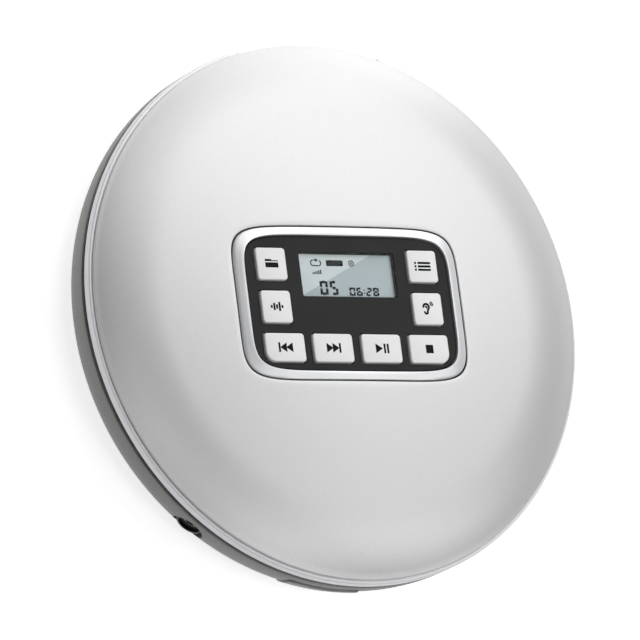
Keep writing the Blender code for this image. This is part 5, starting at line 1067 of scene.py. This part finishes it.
class DISCPLAYER_OT_side_controls(bpy.types.Operator):
    """The sockets, the open button, the two volume keys and the hold slider"""

    bl_idname = "disc_player.side_controls"
    bl_label = "Side controls"

    def execute(self, context):
        def at(turn, along):
            return around(turn, along, 0, SOCKET_Z)

        turn = HEADPHONE_TURN
        half = 0.0040
        body = block((SOCKET_BODY[0], -half, BOARD_TOP_Z + CLEARANCE), (SOCKET_BODY[1], half, 0.0119), turn,
                     CLEARANCE)
        face = HEADPHONE_FACE
        collar = rod(at(turn, SOCKET_BODY[1] - OVERRUN), at(turn, face), 0.0037, edge=0.0003)
        jack = carved(body, ("UNION", collar),
                      ("DIFFERENCE", rod(at(turn, face - 0.0140), at(turn, face + OVERRUN), 0.0018)),
                      ("DIFFERENCE", rod(at(turn, face - 0.0008), at(turn, face + OVERRUN), 0.0030)))
        stand_in("headphone_jack", jack, "black")
        sleeve = carved(rod(at(turn, face - 0.0030), at(turn, face - 0.0009), 0.00175),
                        ("DIFFERENCE", rod(at(turn, face - 0.0050), at(turn, face), 0.00155)))
        add_piece("headphone_sleeve", sleeve, "nickel", "base")
        refine("black", "black_plastic", "power_jack")

        middle = FLANGE_FRONT - 0.0004
        button = block((middle, -OPEN_HALF_WIDTH, OPEN_LOW_Z), (OPEN_FACE, OPEN_HALF_WIDTH, OPEN_HIGH_Z),
                       OPEN_TURN, 0.0008, 5)
        side = [(BODY_RADIUS, SHELL_TOP_Z)] + shell_curve(0)
        grown = [(radius + OPEN_FACE - BODY_RADIUS, height) for radius, height in side]
        limit = spun([(0, SHELL_TOP_Z)] + grown + [(0, UNDERSIDE_Z)])
        flange = block((FLANGE_FRONT - 0.0008, -0.0106, 0.0065), (FLANGE_FRONT, 0.0106, 0.0114), OPEN_TURN)
        made = carved(button, ("INTERSECT", limit), ("UNION", flange))
        stand_in("open_button", made, "side")
        for name, turn in VOLUME_TURNS.items():
            cap = block((FLANGE_FRONT - 0.0005, -0.0045, SOCKET_Z - 0.0020),
                        (BODY_RADIUS, 0.0045, SOCKET_Z + 0.0020), turn, 0.0005, 4)
            rim = block((FLANGE_FRONT - 0.0010, -0.0052, SOCKET_Z - 0.0027),
                        (FLANGE_FRONT, 0.0052, SOCKET_Z + 0.0027), turn)
            stand_in(name, added(cap, rim), "side")
        refine("black", "grey_plastic", "hold_slider")
        refine("acetal", "white_plastic", "latch_slider")
        return {"FINISHED"}


# Drive, battery bay, boards and small parts
TURNTABLE_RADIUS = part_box("turntable")[1].x
TURNTABLE_TOP_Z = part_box("turntable")[1].z
TURNTABLE_LOW_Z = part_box("turntable")[0].z
TURNTABLE_PLATE = 0.0014
HUB_RADIUS = 0.0072
HUB_LOW_Z, HUB_TOP_Z = (corner.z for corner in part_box("chuck_hub"))
SHAFT_HOLE = 0.0013
CHASSIS_TOP_Z = 0.0142
SCREW_HEAD = 0.0021
SCREW_HEAD_HEIGHT = 0.0011
CHIP_LIFT = 0.0002
LEG_HALF = 0.00013


def screw(x, y, head, shank_end, radius=SCREW_HEAD, tall=SCREW_HEAD_HEIGHT, rise=1):
    """A pan-head screw with a cross recess. The shank runs from the head, up or down, to its end."""
    top = head - rise * tall
    low, high = sorted((head, top))
    body = upright(x, y, low, high, radius, SMALL_STEPS, min(radius * 0.16, tall * 0.3))
    arm = radius * 0.62
    slot = radius * 0.13
    depth = (high - low) * 0.55
    cut_low, cut_high = (low - OVERRUN, low + depth) if rise > 0 else (high - depth, high + OVERRUN)
    cross = [block((x - arm, y - slot, cut_low), (x + arm, y + slot, cut_high)),
             block((x - slot, y - arm, cut_low - WELD * 2), (x + slot, y + arm, cut_high + WELD * 2))]
    made = carved(body, ("DIFFERENCE", cross[0]), ("DIFFERENCE", cross[1]))
    start, end = sorted((head, shank_end))
    if end - start > WELD:
        made = added(made, upright(x, y, start, end, radius * 0.5, SMALL_STEPS))
    return made


class DISCPLAYER_OT_drive(bpy.types.Operator):
    """The turntable and its hub, the motors, the chassis, the rods, the sled, the lens and the gears"""

    bl_idname = "disc_player.drive"
    bl_label = "Disc drive"

    def execute(self, context):
        low = TURNTABLE_TOP_Z - TURNTABLE_PLATE
        rim = TURNTABLE_RADIUS
        table = spun([(SHAFT_HOLE, TURNTABLE_TOP_Z), (rim - 0.0041, TURNTABLE_TOP_Z),
                      (rim - 0.0041, TURNTABLE_TOP_Z - 0.0002), (rim - 0.0009, TURNTABLE_TOP_Z - 0.0002),
                      (rim - 0.0009, TURNTABLE_TOP_Z), (rim - 0.0002, TURNTABLE_TOP_Z),
                      (rim, TURNTABLE_TOP_Z - 0.0002), (rim, low + 0.0002), (rim - 0.0002, low),
                      (0.0040, low), (0.0040, TURNTABLE_LOW_Z), (SHAFT_HOLE, TURNTABLE_LOW_Z)])
        stand_in("turntable", table, "black")
        pad = spun([(rim - 0.0040, TURNTABLE_TOP_Z - 0.0002), (rim - 0.0040, TURNTABLE_TOP_Z - 0.00004),
                    (rim - 0.0038, TURNTABLE_TOP_Z), (rim - 0.0012, TURNTABLE_TOP_Z),
                    (rim - 0.0010, TURNTABLE_TOP_Z - 0.00004), (rim - 0.0010, TURNTABLE_TOP_Z - 0.0002)])
        add_piece("turntable_pad", pad, "rubber", "spindle")
        edge = 0.0005
        hub = spun([(0, HUB_TOP_Z), (HUB_RADIUS - edge * 1.6, HUB_TOP_Z), (HUB_RADIUS - edge * 0.5,
                   HUB_TOP_Z - edge * 0.3), (HUB_RADIUS, HUB_TOP_Z - edge), (HUB_RADIUS, HUB_LOW_Z),
                    (SHAFT_HOLE, HUB_LOW_Z), (SHAFT_HOLE, HUB_TOP_Z - 0.0008), (0, HUB_TOP_Z - 0.0008)])
        slots, claws = [], []
        for count in range(3):
            turn = 2 * pi * count / 3
            slots.append(block((HUB_RADIUS * 0.62, -0.0016, HUB_TOP_Z - 0.0007),
                               (HUB_RADIUS + OVERRUN, 0.0016, HUB_TOP_Z + OVERRUN), turn))
            claws.append(block((HUB_RADIUS * 0.62, -0.0012, HUB_TOP_Z - 0.0008),
                               (HUB_RADIUS + 0.0004, 0.0012, HUB_TOP_Z - 0.0002), turn, 0.00015))
        hub = carved(hub, ("DIFFERENCE", added(*slots)))
        stand_in("chuck_hub", added(hub, *claws), "black")
        refine("steel", "steel", "spindle_shaft", "spindle_motor", "sled_motor")
        refine("steel", "steel", "chassis_plate", edge=CLEARANCE / 3)
        heads = [screw(x, y, CHASSIS_TOP_Z, CHASSIS_TOP_Z, 0.0015, 0.0003, rise=-1) for x, y in DAMPER_PLACES]
        for count, head in enumerate(heads, 1):
            add_piece("chassis_screw_%d" % count, head, "nickel", "base")
        for node in ("guide_rod_1", "guide_rod_2"):
            start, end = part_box(node)
            y, z = (start.y + end.y) / 2, (start.z + end.z) / 2
            guide = rod((start.x, y, z), (end.x, y, z), (end.y - start.y) / 2, edge=0.0002)
            stand_in(node, guide, "nickel")
        refine("rubber", "rubber", "damper_1", "damper_2", "damper_3", "damper_4")
        refine("black", "black_plastic", "pickup_sled", edge=CLEARANCE / 2)
        low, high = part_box("pickup_lens")
        radius = (high.x - low.x) / 2
        rise = high.z - 0.0165
        sphere = (radius**2 + rise**2) / (2 * rise)
        turns = [asin(radius / sphere) * step / 12 for step in range(13)]
        dome = [(sphere * sin(turn), high.z - sphere + sphere * cos(turn)) for turn in turns]
        lens = spun(dome + [(radius, low.z), (0, low.z)], SMALL_STEPS)
        bmesh.ops.translate(lens, vec=((low.x + high.x) / 2, 0, 0), verts=lens.verts)
        stand_in("pickup_lens", lens, "lens")
        refine("acetal", "white_plastic", "sled_rack", "idler_gear")
        refine("brass", "brass", "motor_pinion")
        return {"FINISHED"}


class DISCPLAYER_OT_battery_bay(bpy.types.Operator):
    """The battery door, with ribs for the thumb, and the contacts and springs of the bay"""

    bl_idname = "disc_player.battery_bay"
    bl_label = "Battery bay"

    def execute(self, context):
        skin = [(0, UNDERSIDE_Z + DOOR_WALL)] + shell_curve(DOOR_WALL)[::-1] + shell_curve(0)
        plan = prism(bay_outline(-CLEARANCE), UNDERSIDE_Z - OVERRUN, FLOOR_Z + OVERRUN)
        rear = block((-BODY_RADIUS, DOOR_AXIS_Y, -BODY_RADIUS), (BODY_RADIUS, BODY_RADIUS, BODY_RADIUS))
        grooves = [block((-0.0060, BAY_FRONT_Y + 0.0026 + 0.0009 * step, UNDERSIDE_Z - OVERRUN),
                         (0.0060, BAY_FRONT_Y + 0.0030 + 0.0009 * step, UNDERSIDE_Z + 0.0003))
                   for step in range(4)]
        end = BAY_HALF_X - 0.0013
        corners = []
        for side in (-1, 1):
            left, right = sorted((side * (end + CLEARANCE), side * (BAY_HALF_X + DOOR_CORNER)))
            corners.append(block((left, DOOR_AXIS_Y - DOOR_CORNER, -DOOR_CORNER),
                                 (right, BAY_REAR_Y, FLOOR_Z + DOOR_CORNER)))
        door = carved(plan, ("INTERSECT", spun(skin + [(0, UNDERSIDE_Z)])), ("DIFFERENCE", rear),
                      ("DIFFERENCE", added(*corners)), ("UNION", door_rod(end, 0.0010)),
                      ("UNION", door_rod(BAY_HALF_X + 0.0002, 0.0005)), ("DIFFERENCE", added(*grooves)))
        stand_in("battery_door", door, "side")
        contacts = ("contact_bridge", "contact_positive", "contact_negative")
        refine("nickel", "steel", *contacts, edge=CLEARANCE / 4)
        refine("nickel", "steel", "battery_spring_1", "battery_spring_2")
        return {"FINISHED"}


def ribbon_path():
    """Places along the ribbon, as depth and height: over the lid's cover, past its edge, down by the pin."""
    return [(0.0225, 0.0226), (0.0300, 0.0216), (0.0400, 0.02155), (0.0500, 0.02155), (0.0554, 0.0215),
            (0.0570, 0.0211), (0.0582, 0.0202), (0.0596, 0.0194), (0.0612, 0.0190), (0.0626, 0.0187),
            (0.0633, 0.0180), (0.0635, 0.0168), (0.0635, 0.0155), (0.0635, 0.0142), (0.0635, 0.0125)]


class DISCPLAYER_OT_boards(bpy.types.Operator):
    """The main board with its components, and the ribbon that crosses the hinge to the lid's board"""

    bl_idname = "disc_player.boards"
    bl_label = "Boards and ribbon"

    def execute(self, context):
        refine("board", "board", "main_board")
        top = BOARD_TOP_Z
        chips = [(0.0360, -0.0020, 0.0040, 0.0040, 0.0010), (0.0480, 0.0030, 0.0028, 0.0022, 0.0009),
                 (0.0230, 0.0010, 0.0024, 0.0030, 0.0009), (-0.0340, 0.0060, 0.0045, 0.0030, 0.0010),
                 (-0.0300, -0.0110, 0.0030, 0.0030, 0.0010)]
        for count, (x, y, wide, deep, tall) in enumerate(chips, 1):
            package = block((x - wide, y - deep, top + CHIP_LIFT),
                            (x + wide, y + deep, top + CHIP_LIFT + tall), 0, 0.0001)
            add_piece("chip_%d" % count, package, "epoxy", "base")
            legs = []
            number = int(wide / 0.0004)
            for step in range(number):
                along = x - wide + (step + 0.5) * 2 * wide / number
                for side in (-1, 1):
                    near, far = sorted((y + side * (deep - 0.0001), y + side * (deep + 0.0007)))
                    legs.append(block((along - LEG_HALF, near, top + 0.00002),
                                      (along + LEG_HALF, far, top + 0.00035)))
            add_piece("chip_legs_%d" % count, added(*legs), "nickel", "base")
        small = [block((x - 0.0005, y - 0.00025, top), (x + 0.0005, y + 0.00025, top + 0.0004), 0, 0.00006)
                 for x, y in ((0.0440, -0.0050), (0.0440, -0.0036), (0.0545, -0.0020), (0.0545, 0.0),
                              (0.0300, 0.0040), (0.0300, 0.0052), (0.0420, 0.0060), (0.0510, -0.0060),
                              (0.0530, -0.0060), (0.0180, -0.0040), (0.0180, 0.0040))]
        add_piece("chip_resistors", added(*small), "epoxy", "base")
        cans = [upright(x, y, top, top + 0.0030, 0.0018, SMALL_STEPS, 0.0003)
                for x, y in ((0.0530, 0.0080), (-0.0420, -0.0050), (-0.0240, 0.0330))]
        add_piece("capacitors", added(*cans), "nickel", "base")

        half = 0.0038
        film = 0.00006
        loops = []
        path = ribbon_path()
        for (y0, z0), (y1, z1), (y2, z2) in zip(path[:1] + path, path, path[1:] + path[-1:]):
            along = Vector((y2 - y0, z2 - z0)).normalized()
            out = Vector((-along.y, along.x)) * film
            loops.append([(-half, y1 - out.x, z1 - out.y), (half, y1 - out.x, z1 - out.y),
                          (half, y1 + out.x, z1 + out.y), (-half, y1 + out.x, z1 + out.y)])
        ribbon = loft(loops)
        bmesh.ops.holes_fill(ribbon, edges=ribbon.edges[:], sides=4)
        bmesh.ops.recalc_face_normals(ribbon, faces=ribbon.faces)
        piece = add_piece("ribbon", ribbon, "film", None)
        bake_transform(piece)
        return {"FINISHED"}


class DISCPLAYER_OT_small_parts(bpy.types.Operator):
    """The feet, the case screws, the hinge pin and its spring, and the lid switch"""

    bl_idname = "disc_player.small_parts"
    bl_label = "Feet, screws and hinge pin"

    def execute(self, context):
        for count in range(1, len(FOOT_PLACES) + 1):
            low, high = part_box("foot_%d" % count)
            radius = (high.x - low.x) / 2
            foot = spun([(0, high.z), (radius, high.z), (radius, low.z + 0.0004),
                         (radius - 0.0001, low.z + 0.0002), (radius - 0.0004, low.z), (0, low.z)],
                        SMALL_STEPS)
            bmesh.ops.translate(foot, vec=((low.x + high.x) / 2, (low.y + high.y) / 2, 0), verts=foot.verts)
            stand_in("foot_%d" % count, foot, "rubber")
        for count, turn in enumerate(BOSS_TURNS, 1):
            place = around(turn, BOSS_PLACE, 0, 0)
            made = screw(place.x, place.y, UNDERSIDE_Z + HEAD_DEPTH, 0.0130)
            add_piece("case_screw_%d" % count, made, "nickel", "base")
        low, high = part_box("hinge_pin")
        stand_in("hinge_pin", hinge_rod(low.x, high.x, PIN_RADIUS, PIN_RADIUS / 4), "nickel")
        refine("nickel", "steel", "lid_spring")
        refine("black", "black_plastic", "lid_switch", edge=CLEARANCE / 2)
        return {"FINISHED"}


# Camera, fitted to the seam circle, the ring and the panel in the photograph
SENSOR = 36.0
CAMERA_DISTANCE = 2.0
CAMERA_TILT = radians(34.056)
CAMERA_AZIMUTH = radians(65.609)
CAMERA_ROLL = radians(-62.16)
CAMERA_SHIFT_X = 0.0042422
CAMERA_SHIFT_Y = 0.0022163
VIEW_WIDTH = 0.1595
SEAM_Z = 0.0188


# Each lamp's direction in degrees, width and height in metres, and share of the power
LAMPS = (
    ("Low rear right softbox", 60, 18, 0.78, 0.60, 0.31),
    ("Right softbox", 36, 50, 0.63, 0.60, 0.30),
    ("Rear softbox", 84, 50, 0.63, 0.60, 0.18),
    ("Front right softbox", 336, 50, 0.36, 0.60, 0.16),
    ("Front softbox", 288, 58, 0.36, 0.32, 0.11),
    ("Top left softbox", 216, 74, 0.36, 0.32, 0.07),
    ("Low left softbox", 185, 14, 0.50, 0.36, 0.05),
)
LAMP_DISTANCE = 1.0
LAMP_AIM = Vector((0, 0, 0.02))


def softbox(name, azimuth, elevation, width, height, power):
    """A rectangular lamp that faces a point of the object from a direction given in degrees."""
    lamp = bpy.data.lights.new(name, "AREA")
    lamp.shape = "RECTANGLE"
    lamp.size = width
    lamp.size_y = height
    lamp.energy = power
    made = bpy.data.objects.new(name, lamp)
    turn, rise = radians(azimuth), radians(elevation)
    direction = Vector((cos(rise) * cos(turn), cos(rise) * sin(turn), sin(rise)))
    made.location = LAMP_AIM + direction * LAMP_DISTANCE
    made.rotation_euler = direction.to_track_quat("Z", "Y").to_euler()
    bpy.context.scene.collection.objects.link(made)
    return made


def floor_material(colour, level):
    """Matt white card: white to the camera and in reflections, with the object's soft shadow on it."""
    made = bpy.data.materials.new("Matt white card")
    made.use_nodes = True
    tree = made.node_tree
    shader = tree.nodes["Principled BSDF"]
    shader.inputs["Base Color"].default_value = linear(colour)
    shader.inputs["Roughness"].default_value = 0.9
    place = add_node(tree, "ShaderNodeTexCoord").outputs["Object"]
    fibre = add_node(tree, "ShaderNodeTexNoise", {"Scale": 1 / 0.0012, "Detail": 2.0}, {"Vector": place})
    raised = add_node(tree, "ShaderNodeBump", {"Strength": 0.05, "Distance": 0.0001},
                      {"Height": fibre.outputs["Fac"]})
    tree.links.new(raised.outputs["Normal"], shader.inputs["Normal"])
    shader.inputs["Emission Color"].default_value = (1.0, 1.0, 1.0, 1.0)
    path = add_node(tree, "ShaderNodeLightPath")
    shown = add_node(tree, "ShaderNodeMath", {"operation": "MAXIMUM"},
                     {0: path.outputs["Is Camera Ray"], 1: path.outputs["Is Glossy Ray"]})
    seen = add_node(tree, "ShaderNodeMath", {"operation": "MAXIMUM"},
                    {0: shown.outputs[0], 1: path.outputs["Is Transmission Ray"]})
    seen = add_node(tree, "ShaderNodeMath", {"operation": "MULTIPLY", 1: level}, {0: seen.outputs[0]})
    tree.links.new(seen.outputs[0], shader.inputs["Emission Strength"])
    return made


class DISCPLAYER_OT_stage(bpy.types.Operator):
    """The pale floor, the soft studio lamps and the camera at the photograph's angle"""

    bl_idname = "disc_player.stage"
    bl_label = "Stage"

    def execute(self, context):
        stage = context.scene.disc_player_stage
        reach = stage.floor_size / 2
        floor = spun([(0, 0), (reach - 0.6, 0), (reach - 0.3, 0.08), (reach - 0.08, 0.3), (reach, 0.6),
                      (reach, reach * 0.3)])
        mesh = bpy.data.meshes.new("floor")
        floor.to_mesh(mesh)
        floor.free()
        mesh.materials.append(floor_material(stage.floor_colour, stage.floor_glow))
        mesh.shade_smooth()
        piece = bpy.data.objects.new("floor", mesh)
        context.scene.collection.objects.link(piece)

        for name, azimuth, elevation, width, height, share in LAMPS:
            softbox(name, azimuth, elevation, width, height, stage.lamp_power * share)

        world = bpy.data.worlds.new("Studio")
        world.use_nodes = True
        tree = world.node_tree
        tree.nodes["Background"].inputs["Strength"].default_value = stage.room_level
        tree.nodes["Background"].inputs["Color"].default_value = (1.0, 1.0, 1.0, 1.0)
        context.scene.world = world

        camera = bpy.data.cameras.new("Camera")
        camera.sensor_width = SENSOR
        camera.lens = SENSOR * CAMERA_DISTANCE / VIEW_WIDTH
        camera.clip_end = 20.0
        holder = bpy.data.objects.new("Camera", camera)
        to_camera = (Matrix.Rotation(CAMERA_ROLL, 3, "Z") @ Matrix.Rotation(-CAMERA_TILT, 3, "X")
                     @ Matrix.Rotation(CAMERA_AZIMUTH, 3, "Z"))
        back = to_camera.transposed()
        place = Vector((0, 0, SEAM_Z)) - back @ Vector((CAMERA_SHIFT_X, CAMERA_SHIFT_Y, -CAMERA_DISTANCE))
        holder.matrix_world = Matrix.Translation(place) @ back.to_4x4()
        context.scene.collection.objects.link(holder)
        context.scene.camera = holder
        context.scene.view_settings.view_transform = "Standard"
        return {"FINISHED"}


def length(name, description, default, least=0.0):
    return bpy.props.FloatProperty(name=name, description=description, default=default, min=least,
                                   unit="LENGTH", subtype="DISTANCE")


def level(name, description, default, subtype="FACTOR"):
    return bpy.props.FloatProperty(name=name, description=description, default=default, min=0,
                                   subtype=subtype)


def colour(name, description, default):
    return bpy.props.StringProperty(name=name, description=description, default=default)


class DiscPlayerSizes(bpy.types.PropertyGroup):
    """Sizes that the CAD frame leaves open"""

    key_edge: length("Key edge", "Rounding of the keys' upper edges", 0.00035)
    symbol_height: length("Symbol height", "Height of the symbols on the keys", 0.00245)
    symbol_line: length("Symbol line", "Width of the symbols' lines", 0.00054)


class DiscPlayerColours(bpy.types.PropertyGroup):
    """Colours of the finishes, as sRGB hex"""

    silver: colour("Lid", "Silver paint of the lid", "D3D3D3")
    ring: colour("Ring", "Silver paint of the ring", "F0EEF2")
    side: colour("Side", "Grey paint of the lower shell", "8E8E8D")
    chrome: colour("Frame", "Plating of the panel frame", "E2E3E5")
    fascia: colour("Fascia", "Black plastic of the panel", "1E1E1F")
    key: colour("Keys", "White plastic of the keys", "F8F8F8")
    ink: colour("Ink", "Ink of the symbols", "0A0A0B")
    inner: colour("Inside", "Grey plastic inside the lid", "4A4C50")


class DiscPlayerStage(bpy.types.PropertyGroup):
    """The studio"""

    floor_size: length("Floor size", "Width of the floor and its wall", 18.0, 4.0)
    floor_colour: colour("Floor", "Floor colour, sRGB hex", "F4F4F4")
    floor_glow: level("Floor glow", "White that the camera and reflections see on it", 0.75)
    room_level: level("Room", "Level of the even light all round", 0.06)
    lamp_power: level("Lamp power", "Power that each lamp takes its share of, in watts", 10.0, "POWER")


GROUPS = {"disc_player_sizes": DiscPlayerSizes, "disc_player_colours": DiscPlayerColours,
          "disc_player_stage": DiscPlayerStage}
OPERATORS = (DISCPLAYER_OT_lid, DISCPLAYER_OT_panel_frame, DISCPLAYER_OT_fascia, DISCPLAYER_OT_keys,
             DISCPLAYER_OT_symbols, DISCPLAYER_OT_display, DISCPLAYER_OT_lower_shell,
             DISCPLAYER_OT_upper_housing, DISCPLAYER_OT_side_controls, DISCPLAYER_OT_drive,
             DISCPLAYER_OT_battery_bay, DISCPLAYER_OT_boards, DISCPLAYER_OT_small_parts, DISCPLAYER_OT_stage)


class DISCPLAYER_PT_pieces(bpy.types.Panel):
    """Lists the pieces in the 3D view's sidebar"""

    bl_idname = "DISCPLAYER_PT_pieces"
    bl_label = "Disc player"
    bl_space_type = "VIEW_3D"
    bl_region_type = "UI"
    bl_category = "Disc player"

    def draw(self, context):
        for name, group in GROUPS.items():
            for setting in group.__annotations__:
                self.layout.prop(getattr(context.scene, name), setting)
        for operator in OPERATORS:
            self.layout.operator(operator.bl_idname)


def register():
    for name, group in GROUPS.items():
        bpy.utils.register_class(group)
        setattr(bpy.types.Scene, name, bpy.props.PointerProperty(type=group))
    for shown in (*OPERATORS, DISCPLAYER_PT_pieces):
        bpy.utils.register_class(shown)


def unregister():
    for shown in (DISCPLAYER_PT_pieces, *reversed(OPERATORS)):
        bpy.utils.unregister_class(shown)
    for name, group in reversed(GROUPS.items()):
        delattr(bpy.types.Scene, name)
        bpy.utils.unregister_class(group)


def main():
    """Registers the classes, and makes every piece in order."""
    register()
    for operator in OPERATORS:
        group, name = operator.bl_idname.split(".")
        getattr(getattr(bpy.ops, group), name)()


if __name__ == "__main__":
    main()
